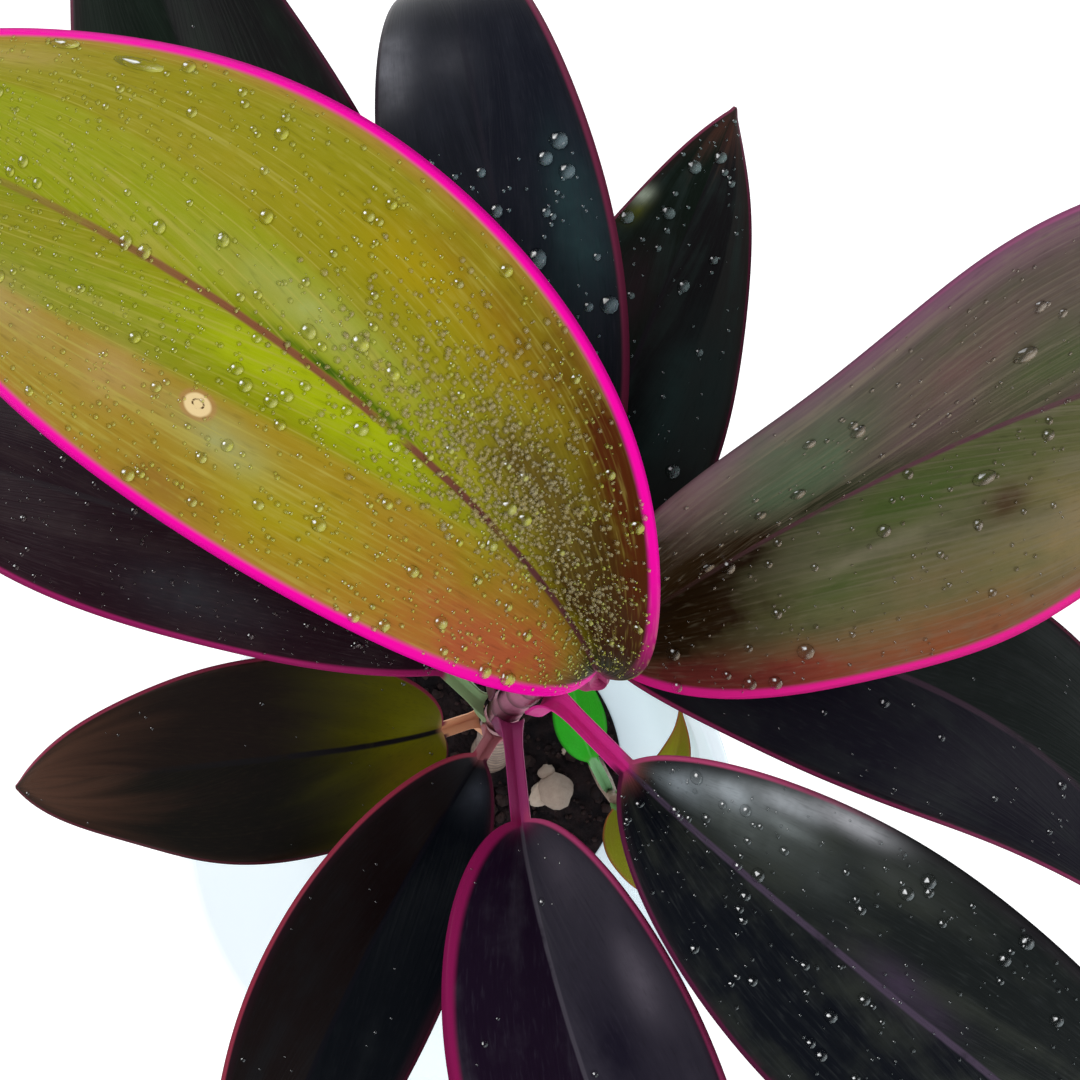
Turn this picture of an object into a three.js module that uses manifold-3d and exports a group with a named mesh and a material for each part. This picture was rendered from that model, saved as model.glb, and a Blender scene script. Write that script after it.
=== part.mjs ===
// A ti plant in a plain white pot: a leaning cane set in soil, with its leaves
// spiralling up it, and a small side shoot in the soil beside it.
// Millimetres and degrees, +Z up. The origin is the centre of the pot's underside.
import * as THREE from "three";
import { mergeVertices } from "three/addons/utils/BufferGeometryUtils.js";
import Module from "manifold-3d";

const wasm = await Module();
wasm.setup();

// Pot: a thin conical wall on a flat floor, with a rounded lip
const POT = {
  height: 140,
  rimRadius: 80,
  baseRadius: 43,
  wall: 2.6,
  floor: 4,
  lipDrop: 9,
  lipProud: 1.6,
  lipRound: 1.2,
  footBevel: 2,
  sides: 40,
};

// Soil: fills the pot to this height, with clods and pebbles on top
const SOIL = {
  top: 50,
  rings: 8,
  sides: 40,
  clodHeight: 1.6,
  clodFade: [0.8, 0.98],
  pebbles: 16,
  pebbleRadius: [2.6, 4.6],
  pebbleShape: [1.15, 0.95, 0.75],
  pebbleClear: 3,
  pebbleSunk: 0.1,
  seed: 7,
};

// Pieces that touch keep this gap between them
const GAP = 0.3;

// Cane: centres from the foot to the tip, and its radii there
const CANE = {
  path: [
    [2, -2, 22],
    [5, 6, 50],
    [8, 14, 78],
    [11, 29, 140],
    [16, 45, 200],
    [25, 56, 236],
    [30, 59, 248],
  ],
  footRadius: 7.6,
  tipRadius: 2.6,
  ringProud: 0.4,
  clear: 0.3,
  ringSpacing: 10,
  sides: 10,
};

// What all the leaves share. wrap is how far the petiole's foot reaches round what it grows
// on, and letsGo between which shares of the petiole it lets go of it. By spreadBy of the
// blade its edges curl and ripple in full, by settleBy the petiole's depths turn into the
// blade's, and nodFrom is where a nod begins and ends. bendEase puts the bends near the
// blade's foot, and rowEase more rows there.
const LEAF = {
  petioleWidth: 4.4,
  petioleDepth: 2.4,
  petioleEdge: 1.1,
  ribDepth: 2.2,
  ribTipDepth: 1.0,
  ribReach: 0.25,
  bladeDepth: 1.0,
  edgeDepth: 0.8,
  tipWidth: 1.2,
  wrap: 42,
  letsGo: [0.12, 0.6],
  spreadBy: 0.35,
  settleBy: 0.1,
  nodFrom: [0.5, 0.95],
  bendEase: 0.65,
  rowEase: 1.2,
  ripples: 2.5,
  rippleShift: 1.9,
  petioleSteps: 4,
  bladeSteps: 14,
  walkSteps: 8,
  across: [-1, -0.55, -0.1, 0, 0.1, 0.55, 1],
};

// What a leaf has where its entry doesn't say otherwise. roll is its tilt about the midrib
// at the blade's foot, a third along it and at its point, and nod bends the blade's outer
// part down further. curl is how far the halves bend down towards their edges, and wave the
// height of the ripples there. ease puts the widest place below the middle, blunt under 1
// rounds the ends, lean makes the right half wider than the left, and dent folds one half
// up further: 1 for the left or -1 for the right, round which share of the blade, how far
// along it, and by how much.
const PLAIN = {
  roll: [0, 0, 0],
  nod: 0,
  curl: 18,
  wave: 1,
  ease: 0.7,
  blunt: 1,
  lean: 0,
  dent: [1, 0.5, 0.1, 0],
};

// One entry for each leaf, from the tip of the cane down. node is its height above the
// soil, and blade the blade's length and width. turn is its heading, from +X towards +Y,
// slope its midrib's slope and fold the V of its two halves, each at the blade's foot, a
// third along it and at its point. The petiole keeps the values of the blade's foot, and
// clasp is the side of the cane that it grows from.
const LEAVES = [
  { name: "leaf_01_top", skin: "young", node: 197, petiole: 20, blade: [228, 67], clasp: 310,
    turn: [104, 143, 158], slope: [76, 0, -38], fold: [38, 16, 14],
    curl: 24, wave: 1.2, ease: 0.75, lean: 0.04, dent: [-1, 0.08, 0.1, 26] },
  { name: "leaf_02_right", skin: "bronze", node: 186, petiole: 17, blade: [196, 74], clasp: 30,
    turn: [44, 26, -2], slope: [60, 6, -42], fold: [34, 32, 2],
    roll: [4, 31, -22], curl: 20, wave: 1.2, lean: -0.07, dent: [1, 0.31, 0.1, 8] },
  { name: "leaf_03_back", skin: "dark", node: 171, petiole: 34, blade: [172, 40], clasp: 94,
    turn: [88, 99, 103], slope: [54, 6, -20], fold: [38, 12, 10], nod: 75 },
  { name: "leaf_04_back_left", skin: "dark", node: 154, petiole: 36, blade: [205, 54], clasp: 138,
    turn: [121, 114, 111], slope: [54, 8, -30], fold: [38, 16, 12] },
  { name: "leaf_05_front_right", skin: "dark", node: 167, petiole: 44, blade: [170, 48], clasp: 312,
    turn: [321, 322, 317], slope: [52, 10, -40], fold: [38, 16, 14], wave: 1.5 },
  { name: "leaf_06_front", skin: "dark", node: 146, petiole: 48, blade: [163, 48], clasp: 262,
    turn: [279, 291, 296], slope: [56, 8, -40], fold: [38, 18, 14], ease: 0.62 },
  { name: "leaf_07_left", skin: "dark", node: 136, petiole: 34, blade: [175, 43], clasp: 168,
    turn: [126, 158, 170], slope: [54, 6, -36], fold: [38, 14, 12], wave: 1.5, ease: 0.8 },
  { name: "leaf_08_low_right", skin: "dark", node: 153, petiole: 36, blade: [165, 48], clasp: 34,
    turn: [31, -19, -61], slope: [46, 4, -36], fold: [38, 14, 12], curl: 16 },
  { name: "leaf_09_low_back", skin: "dark", node: 131, petiole: 39, blade: [132, 47], clasp: 62,
    turn: [75, 69, 68], slope: [52, 10, -26], fold: [38, 14, 12], curl: 14, blunt: 0.9 },
  { name: "leaf_10_front_left", skin: "dark", node: 126, petiole: 18, blade: [160, 40], clasp: 246,
    turn: [233, 243, 259], slope: [60, 10, -38], fold: [38, 16, 14], curl: 16 },
  { name: "leaf_11_low_left", skin: "dark", node: 116, petiole: 22, blade: [108, 48], clasp: 180,
    turn: [190, 185, 191], slope: [50, 12, -22], fold: [38, 12, 12], curl: 14, blunt: 0.75 },
].map((leaf) => ({ ...PLAIN, ...leaf }));

// Side shoot: a short stem low beside the cane, with its small leaves grown onto it. Here
// node is a share of the stem's length.
const SHOOT = {
  path: [
    [43, 2, 36],
    [45, 2, 80],
    [46, 4, 118],
  ],
  radii: [3, 2.8, 1.6],
  clasp: 0.3,
  sides: 8,
  leaves: [
    { node: 0.95, petiole: 7, blade: [28, 15], clasp: 290,
      turn: [290, 288, 282], slope: [62, 16, -30], fold: [38, 20, 14] },
    { node: 0.84, petiole: 13, blade: [38, 13], clasp: 30,
      turn: [12, 52, 94], slope: [56, 30, -4], fold: [38, 24, 14] },
    { node: 0.74, petiole: 28, blade: [36, 16], clasp: 118,
      turn: [116, 104, 98], slope: [35, 10, -10], fold: [38, 20, 14] },
  ].map((leaf) => ({ ...PLAIN, curl: 14, wave: 0.3, ...leaf })),
};

const rad = THREE.MathUtils.degToRad;
const mix = THREE.MathUtils.lerp;
const smooth = THREE.MathUtils.smoothstep;

const MATERIALS = {
  pot: new THREE.MeshStandardMaterial({ color: 0xeaf0f1, roughness: 0.35, metalness: 0 }),
  soil: new THREE.MeshStandardMaterial({ color: 0x2c2420, roughness: 0.95, metalness: 0 }),
  cane: new THREE.MeshStandardMaterial({ color: 0x8c6a55, roughness: 0.7, metalness: 0 }),
  young: new THREE.MeshStandardMaterial({ color: 0x7f9a1e, roughness: 0.4, metalness: 0 }),
  bronze: new THREE.MeshStandardMaterial({ color: 0x5d4a3c, roughness: 0.4, metalness: 0 }),
  dark: new THREE.MeshStandardMaterial({ color: 0x1d141c, roughness: 0.35, metalness: 0 }),
};

// A geometry of vertices and triangles, with normals for drawing
function geometryOf(vertices, triangles) {
  const made = new THREE.BufferGeometry();
  const numbers = vertices.flatMap((vertex) => vertex.toArray());
  made.setAttribute("position", new THREE.Float32BufferAttribute(numbers, 3));
  made.setIndex(triangles.flat());
  made.computeVertexNormals();
  return made;
}

// A repeatable stream of numbers from 0 to 1
function randomStream(seed) {
  const factor = 16807;
  const modulus = 2147483647;
  let state = seed;
  return () => {
    state = (state * factor) % modulus;
    return state / modulus;
  };
}

// The cane's centre line, and the point and direction on it at a height
const caneLine = new THREE.CatmullRomCurve3(CANE.path.map((p) => new THREE.Vector3(...p)));

function caneAt(z) {
  const halvings = 30;
  let low = 0;
  let high = 1;
  for (let i = 0; i < halvings; i++) {
    const middle = (low + high) / 2;
    if (caneLine.getPoint(middle).z < z) low = middle;
    else high = middle;
  }
  return { point: caneLine.getPoint(low), along: caneLine.getTangent(low), share: low };
}

const caneRadius = (share) => mix(CANE.footRadius, CANE.tipRadius, share);

// A round closed body along a line of centres with a radius at each
function roundBody(centres, radii, sides) {
  const vertices = [];
  const triangles = [];
  centres.forEach((centre, i) => {
    const before = centres[Math.max(i - 1, 0)];
    const after = centres[Math.min(i + 1, centres.length - 1)];
    const along = new THREE.Vector3().subVectors(after, before).normalize();
    const side = new THREE.Vector3(0, 1, 0).cross(along).normalize();
    const up = new THREE.Vector3().crossVectors(along, side);
    for (let k = 0; k < sides; k++) {
      const turn = (2 * Math.PI * k) / sides;
      vertices.push(
        centre.clone()
          .addScaledVector(side, radii[i] * Math.cos(turn))
          .addScaledVector(up, radii[i] * Math.sin(turn)),
      );
    }
  });
  for (let i = 0; i + 1 < centres.length; i++)
    for (let k = 0; k < sides; k++) {
      const a = i * sides + k;
      const b = i * sides + ((k + 1) % sides);
      triangles.push([a, b, b + sides], [a, b + sides, a + sides]);
    }
  const foot = vertices.push(centres[0].clone()) - 1;
  const tip = vertices.push(centres.at(-1).clone()) - 1;
  const last = (centres.length - 1) * sides;
  for (let k = 0; k < sides; k++) {
    const next = (k + 1) % sides;
    triangles.push([foot, next, k], [tip, last + k, last + next]);
  }
  return geometryOf(vertices, triangles);
}

// A geometry as a solid to join and cut, its vertices merged within this distance
const MERGE = 1e-4;

function solidOf(geometry) {
  const bare = geometry.clone();
  bare.deleteAttribute("normal");
  bare.deleteAttribute("uv");
  const merged = mergeVertices(bare, MERGE);
  return new wasm.Manifold(new wasm.Mesh({
    numProp: 3,
    vertProperties: merged.attributes.position.array,
    triVerts: new Uint32Array(merged.index.array),
  }));
}

// A solid as a geometry again
function geometryFrom(solid) {
  const mesh = solid.getMesh();
  const made = new THREE.BufferGeometry();
  made.setAttribute("position", new THREE.BufferAttribute(Float32Array.from(mesh.vertProperties), 3));
  made.setIndex(new THREE.BufferAttribute(Uint32Array.from(mesh.triVerts), 1));
  made.computeVertexNormals();
  return made;
}

// The slope of the pot's wall, as the radius outside and inside it at a height
const potOuter = (z) => mix(POT.baseRadius, POT.rimRadius - POT.lipProud, z / POT.height);
const potInner = (z) => potOuter(z) - POT.wall;

function potGeometry() {
  const { height, floor, lipDrop, lipProud, lipRound, footBevel, sides } = POT;
  const profile = [
    [0, 0],
    [potOuter(0) - footBevel, 0],
    [potOuter(0), footBevel],
    [potOuter(height - lipDrop - lipProud), height - lipDrop - lipProud],
    [potOuter(height - lipDrop) + lipProud, height - lipDrop],
    [potOuter(height) + lipProud, height - lipRound],
    [potOuter(height) + lipProud - lipRound, height],
    [potInner(height) + lipRound, height],
    [potInner(height), height - lipRound],
    [potInner(floor), floor],
    [0, floor],
  ];
  const made = new THREE.LatheGeometry(profile.map(([r, z]) => new THREE.Vector2(r, z)), sides);
  return made.rotateX(Math.PI / 2);
}

// Clods: smooth bumps from a few crossing waves, fading out at the wall
function clodHeight(x, y) {
  const inner = 1 - smooth(Math.hypot(x, y) / potInner(SOIL.top), ...SOIL.clodFade);
  const lumps = Math.sin(x * 0.31 + 1.3) * Math.cos(y * 0.27 - 0.6)
    + 0.6 * Math.sin(x * 0.53 - y * 0.47 + 2.1)
    + 0.4 * Math.cos(x * 0.83 + y * 0.71);
  return SOIL.clodHeight * lumps * inner;
}

function soilGeometry() {
  const { top, rings, sides } = SOIL;
  const foot = POT.floor + GAP;
  const reach = (z) => potInner(z) - GAP;
  const profile = [[0, foot], [reach(foot), foot], [reach(top), top]];
  for (let ring = rings - 1; ring >= 0; ring--) profile.push([(reach(top) * ring) / rings, top]);
  const made = new THREE.LatheGeometry(profile.map(([r, z]) => new THREE.Vector2(r, z)), sides);
  made.rotateX(Math.PI / 2);
  const place = made.attributes.position;
  for (let i = 0; i < place.count; i++) {
    const [x, y, z] = [place.getX(i), place.getY(i), place.getZ(i)];
    if (z > top - 1) place.setZ(i, z + clodHeight(x, y));
  }
  return made;
}

// Pebbles: faceted stones pressed into the soil, clear of the wall and of the cane
function pebbleGeometries() {
  const random = randomStream(SOIL.seed);
  const cane = caneAt(SOIL.top).point;
  const found = [];
  while (found.length < SOIL.pebbles) {
    const radius = mix(...SOIL.pebbleRadius, random());
    const reach = (potInner(SOIL.top) - radius - SOIL.pebbleClear) * Math.sqrt(random());
    const turn = 2 * Math.PI * random();
    const at = new THREE.Vector3(reach * Math.cos(turn), reach * Math.sin(turn), 0);
    if (Math.hypot(at.x - cane.x, at.y - cane.y) < CANE.footRadius + radius + SOIL.pebbleClear) continue;
    if (found.some((other) => other.at.distanceTo(at) < other.radius + radius + 1)) continue;
    found.push({ at, radius, turn });
  }
  return found.map(({ at, radius, turn }) => {
    const stone = new THREE.IcosahedronGeometry(radius, 0);
    stone.scale(...SOIL.pebbleShape);
    stone.rotateZ(turn);
    return stone.translate(at.x, at.y, SOIL.top + clodHeight(at.x, at.y) - radius * SOIL.pebbleSunk);
  });
}

// The cane's centres and radii, with a ring where each old leaf came away
function caneStations(extra) {
  const length = caneLine.getLength();
  const steps = Math.round(length / CANE.ringSpacing) * 2;
  const centres = [];
  const radii = [];
  for (let i = 0; i <= steps; i++) {
    const share = i / steps;
    centres.push(caneLine.getPointAt(share));
    radii.push(caneRadius(share) + (i % 2 ? CANE.ringProud : 0) + extra);
  }
  return [centres, radii, CANE.sides];
}

function beddedSoil() {
  let solid = solidOf(soilGeometry());
  for (const stone of pebbleGeometries()) solid = solid.add(solidOf(stone));
  const holes = [roundBody(...caneStations(GAP)), shootStem(GAP)];
  for (const hole of holes) solid = solid.subtract(solidOf(hole));
  return geometryFrom(solid);
}

// A value at a share of a leaf's length, on the smooth curve through its three values
function through([foot, third, point], share) {
  const t = share ** LEAF.bendEase;
  return foot * (1 - t) * (1 - 2 * t) + third * 4 * t * (1 - t) + point * t * (2 * t - 1);
}

// A small leaf has a petiole in proportion
const petioleWidth = (leaf) => Math.min(LEAF.petioleWidth, leaf.blade[1] / 4);

// Half the blade's width at a share of the blade's length
function halfWidth(leaf, share) {
  const outline = Math.max(Math.sin(Math.PI * share ** leaf.ease), 0) ** leaf.blunt;
  const shaft = (petioleWidth(leaf) / 2) * (1 - share);
  return Math.hypot((leaf.blade[1] / 2) * outline, shaft, LEAF.tipWidth / 2);
}

// What a leaf grows on: a point and a direction on the cane, and the radius it clasps
function caneHold(leaf) {
  const { point, along, share } = caneAt(SOIL.top + leaf.node);
  return { point, along, clasp: caneRadius(share) + CANE.ringProud + CANE.clear };
}

// The lengths along a leaf where its rows lie, closer together at the blade's foot
function stations(leaf) {
  const { petioleSteps, bladeSteps, rowEase } = LEAF;
  const lengths = [];
  for (let i = 0; i < petioleSteps; i++) lengths.push((leaf.petiole * i) / petioleSteps);
  for (let i = 0; i <= bladeSteps; i++) {
    lengths.push(leaf.petiole + leaf.blade[0] * (i / bladeSteps) ** rowEase);
  }
  return lengths;
}

// The directions along, across and up from a leaf at a length from its foot
function frameAt(leaf, length, hold) {
  const share = Math.max(length - leaf.petiole, 0) / leaf.blade[0];
  const free = smooth(length / leaf.petiole, ...LEAF.letsGo);
  const heading = rad(mix(leaf.clasp, through(leaf.turn, share), free));
  const slope = rad(through(leaf.slope, share) - leaf.nod * smooth(share, ...LEAF.nodFrom));
  const along = new THREE.Vector3(Math.cos(heading), Math.sin(heading), 0).multiplyScalar(Math.cos(slope));
  along.z = Math.sin(slope);
  along.lerp(hold.along, 1 - free).normalize();
  const across = new THREE.Vector3(-Math.sin(heading), Math.cos(heading), 0);
  across.addScaledVector(along, -across.dot(along)).normalize();
  across.applyAxisAngle(along, rad(through(leaf.roll, share)) * free);
  return { along, across, up: new THREE.Vector3().crossVectors(along, across), free };
}

// One leaf, from its sheath on the cane to its point, as rows of points across it
function leafRows(leaf, hold) {
  const outward = new THREE.Vector3(Math.cos(rad(leaf.clasp)), Math.sin(rad(leaf.clasp)), 0);
  outward.addScaledVector(hold.along, -outward.dot(hold.along)).normalize();
  const centre = hold.point.clone().addScaledVector(outward, hold.clasp);
  let before = 0;
  return stations(leaf).map((length) => {
    const step = (length - before) / LEAF.walkSteps;
    for (let i = 0; i < LEAF.walkSteps; i++) {
      centre.addScaledVector(frameAt(leaf, before + step * (i + 0.5), hold).along, step);
    }
    before = length;
    return rowAt(leaf, length, centre.clone(), frameAt(leaf, length, hold), hold.clasp);
  });
}

// How much further up one half is folded at a share of the blade's length
function dentAt(leaf, share, v) {
  const [side, middle, spread, angle] = leaf.dent;
  return side * v > 0 ? rad(angle) * Math.exp(-(((share - middle) / spread) ** 2)) : 0;
}

// A row of points across the leaf's upper face, and one across its lower face
function rowAt(leaf, length, centre, frame, clasp) {
  const share = Math.max(length - leaf.petiole, 0) / leaf.blade[0];
  const width = halfWidth(leaf, share);
  const spread = smooth(share, 0, LEAF.spreadBy);
  const fold = rad(through(leaf.fold, share));
  const curl = rad(leaf.curl) * spread;
  const sheath = (v) => {
    const turn = rad(LEAF.wrap) * v;
    return new THREE.Vector2(clasp * Math.sin(turn), clasp * (1 - Math.cos(turn)));
  };
  const blade = (v) => {
    const tilt = fold + dentAt(leaf, share, v) - (curl * Math.abs(v)) / 2;
    const aside = v * width * (1 - leaf.lean * v);
    const phase = 2 * Math.PI * LEAF.ripples * share + (v > 0 ? 0 : LEAF.rippleShift);
    const ripple = leaf.wave * Math.sin(phase) * v * v * spread;
    return new THREE.Vector2(aside * Math.cos(tilt), Math.abs(aside) * Math.sin(tilt) + ripple);
  };
  const top = LEAF.across.map((v) => sheath(v).lerp(blade(v), frame.free));
  const under = top.map((p, j) => {
    const before = top[Math.max(j - 1, 0)];
    const after = top[Math.min(j + 1, top.length - 1)];
    const normal = new THREE.Vector2(before.y - after.y, after.x - before.x).normalize();
    return p.clone().addScaledVector(normal, -depthAt(leaf, length, LEAF.across[j]));
  });
  const place = (p) => centre.clone().addScaledVector(frame.across, p.x).addScaledVector(frame.up, p.y);
  return { top: top.map(place), under: under.map(place) };
}

// How deep the leaf is at a length from its foot and a share v of its half width
function depthAt(leaf, length, v) {
  const share = Math.max(length - leaf.petiole, 0) / leaf.blade[0];
  const slim = petioleWidth(leaf) / LEAF.petioleWidth;
  const settled = smooth(share, 0, LEAF.settleBy);
  const edge = mix(LEAF.petioleEdge, LEAF.edgeDepth, settled);
  const ribFoot = mix(LEAF.petioleDepth, LEAF.ribDepth, settled) * slim;
  const rib = Math.max(mix(ribFoot, LEAF.ribTipDepth, share), LEAF.bladeDepth);
  const between = mix(LEAF.bladeDepth, edge, Math.abs(v));
  return mix(rib, between, smooth(Math.abs(v), 0, LEAF.ribReach));
}

// Closes rows of upper and lower points into one body, split alike on both faces
function leafGeometry(leaf, hold) {
  const rows = leafRows(leaf, hold);
  const columns = LEAF.across.length;
  const vertices = rows.flatMap((row) => [...row.top, ...row.under]);
  const triangles = [];
  const quad = (a, b, c, d) => triangles.push([a, b, c], [a, c, d]);
  const at = (row, column) => row * 2 * columns + column;
  for (let i = 0; i + 1 < rows.length; i++) {
    for (let j = 0; j + 1 < columns; j++) {
      const [a, b, c, d] = [at(i, j), at(i + 1, j), at(i + 1, j + 1), at(i, j + 1)];
      quad(a, b, c, d);
      triangles.push([a + columns, c + columns, b + columns], [a + columns, d + columns, c + columns]);
    }
    const [left, leftNext] = [at(i, 0), at(i + 1, 0)];
    quad(left, left + columns, leftNext + columns, leftNext);
    const [right, rightNext] = [at(i, columns - 1), at(i + 1, columns - 1)];
    quad(right, rightNext, rightNext + columns, right + columns);
  }
  for (let j = 0; j + 1 < columns; j++) {
    const [a, d] = [at(0, j), at(0, j + 1)];
    quad(a, d, d + columns, a + columns);
    const [e, h] = [at(rows.length - 1, j), at(rows.length - 1, j + 1)];
    quad(e, e + columns, h + columns, h);
  }
  return geometryOf(vertices, triangles);
}

// The side shoot's centre line, and its stem
const shootLine = new THREE.CatmullRomCurve3(SHOOT.path.map((p) => new THREE.Vector3(...p)));

function shootStem(extra) {
  return roundBody(shootLine.points, SHOOT.radii.map((radius) => radius + extra), SHOOT.sides);
}

function shootGeometry() {
  let solid = solidOf(shootStem(0));
  for (const leaf of SHOOT.leaves) {
    const [point, along] = [shootLine.getPointAt(leaf.node), shootLine.getTangentAt(leaf.node)];
    solid = solid.add(solidOf(leafGeometry(leaf, { point, along, clasp: SHOOT.clasp })));
  }
  return geometryFrom(solid);
}

function named(name, geometry, material) {
  const mesh = new THREE.Mesh(geometry, material);
  mesh.name = name;
  return mesh;
}

const plant = new THREE.Group();
plant.add(named("pot", potGeometry(), MATERIALS.pot));
plant.add(named("soil", beddedSoil(), MATERIALS.soil));
plant.add(named("cane", roundBody(...caneStations(0)), MATERIALS.cane));
plant.add(named("side_shoot", shootGeometry(), MATERIALS.young));
for (const leaf of LEAVES) {
  plant.add(named(leaf.name, leafGeometry(leaf, caneHold(leaf)), MATERIALS[leaf.skin]));
}

export default plant;
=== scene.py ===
"""A ti plant in a white pot, dressed for the photograph taken from straight above it."""

import logging
import math
from bisect import bisect_left
from dataclasses import dataclass
from enum import Enum
from random import Random
from typing import Callable

import bmesh
import bpy
from mathutils import Matrix, Quaternion, Vector, noise


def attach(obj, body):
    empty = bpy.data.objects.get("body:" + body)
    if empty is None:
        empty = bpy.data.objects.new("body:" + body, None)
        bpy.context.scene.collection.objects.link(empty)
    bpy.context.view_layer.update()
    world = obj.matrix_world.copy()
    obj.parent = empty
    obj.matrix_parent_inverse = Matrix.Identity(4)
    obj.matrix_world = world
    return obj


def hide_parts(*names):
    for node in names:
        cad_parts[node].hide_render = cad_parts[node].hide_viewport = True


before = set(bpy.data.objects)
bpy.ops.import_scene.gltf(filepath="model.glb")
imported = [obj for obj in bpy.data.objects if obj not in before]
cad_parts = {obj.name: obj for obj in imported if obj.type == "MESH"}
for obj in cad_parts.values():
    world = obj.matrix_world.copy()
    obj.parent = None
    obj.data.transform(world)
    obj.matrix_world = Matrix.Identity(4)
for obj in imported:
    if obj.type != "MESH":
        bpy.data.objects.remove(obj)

log = logging.getLogger("ti_plant")

MM = 0.001
WELD = MM * 1e-3
ROOT = "root"

Object = bpy.types.Object
Socket = bpy.types.NodeSocket
Pair = tuple[float, float]
Colour = tuple[float, float, float]
Triple = tuple[float, float, float]
Four = tuple[float, float, float, float]
Place = Callable[[float, float], Vector]
Facts = Callable[[float, float], dict[str, float]]


def mix(low: float, high: float, share: float) -> float:
    """Return the value at a share of the way from low to high."""
    return low + (high - low) * share


def smooth(value: float, low: float, high: float) -> float:
    """Return a smooth step of value, 0 at low and 1 at high."""
    share = min(max((value - low) / (high - low), 0.0), 1.0)
    return share * share * (3 - 2 * share)


class Value:
    """A number socket of a material, with sums written as plain expressions."""

    def __init__(self, paint: "Paint", socket: Socket) -> None:
        """Wrap one output socket.

        Args:
            paint: The material that the socket is in.
            socket: The socket that gives the number.
        """
        self.paint = paint
        self.socket = socket

    def _sum(self, operation: str, *terms: "Value | float") -> "Value":
        """Return the result of a new Math node with these inputs, in order."""
        made = self.paint.node("ShaderNodeMath", {"operation": operation}, dict(enumerate(terms)))
        return Value(self.paint, made.outputs[0])

    def __add__(self, other: "Value | float") -> "Value":
        """Return the sum."""
        return self._sum("ADD", self, other)

    __radd__ = __add__

    def __sub__(self, other: "Value | float") -> "Value":
        """Return the difference."""
        return self._sum("SUBTRACT", self, other)

    def __rsub__(self, other: float) -> "Value":
        """Return the difference from a plain number."""
        return self._sum("SUBTRACT", other, self)

    def __mul__(self, other: "Value | float") -> "Value":
        """Return the product."""
        return self._sum("MULTIPLY", self, other)

    __rmul__ = __mul__

    def __abs__(self) -> "Value":
        """Return the value without its sign."""
        return self._sum("ABSOLUTE", self)

    def grown(self) -> "Value":
        """Return e raised to the value."""
        return self._sum("EXPONENT", self)

    def step(self, low: float, high: float) -> "Value":
        """Return a smooth step from 0 at low to 1 at high, or falling where low is larger.

        Args:
            low: Where it is 0.
            high: Where it is 1.

        Returns:
            The step.
        """
        inputs = {"Value": self, "From Min": min(low, high), "From Max": max(low, high)}
        made = self.paint.node("ShaderNodeMapRange", {"interpolation_type": "SMOOTHSTEP"}, inputs)
        result = Value(self.paint, made.outputs["Result"])
        return 1 - result if low > high else result


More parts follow.
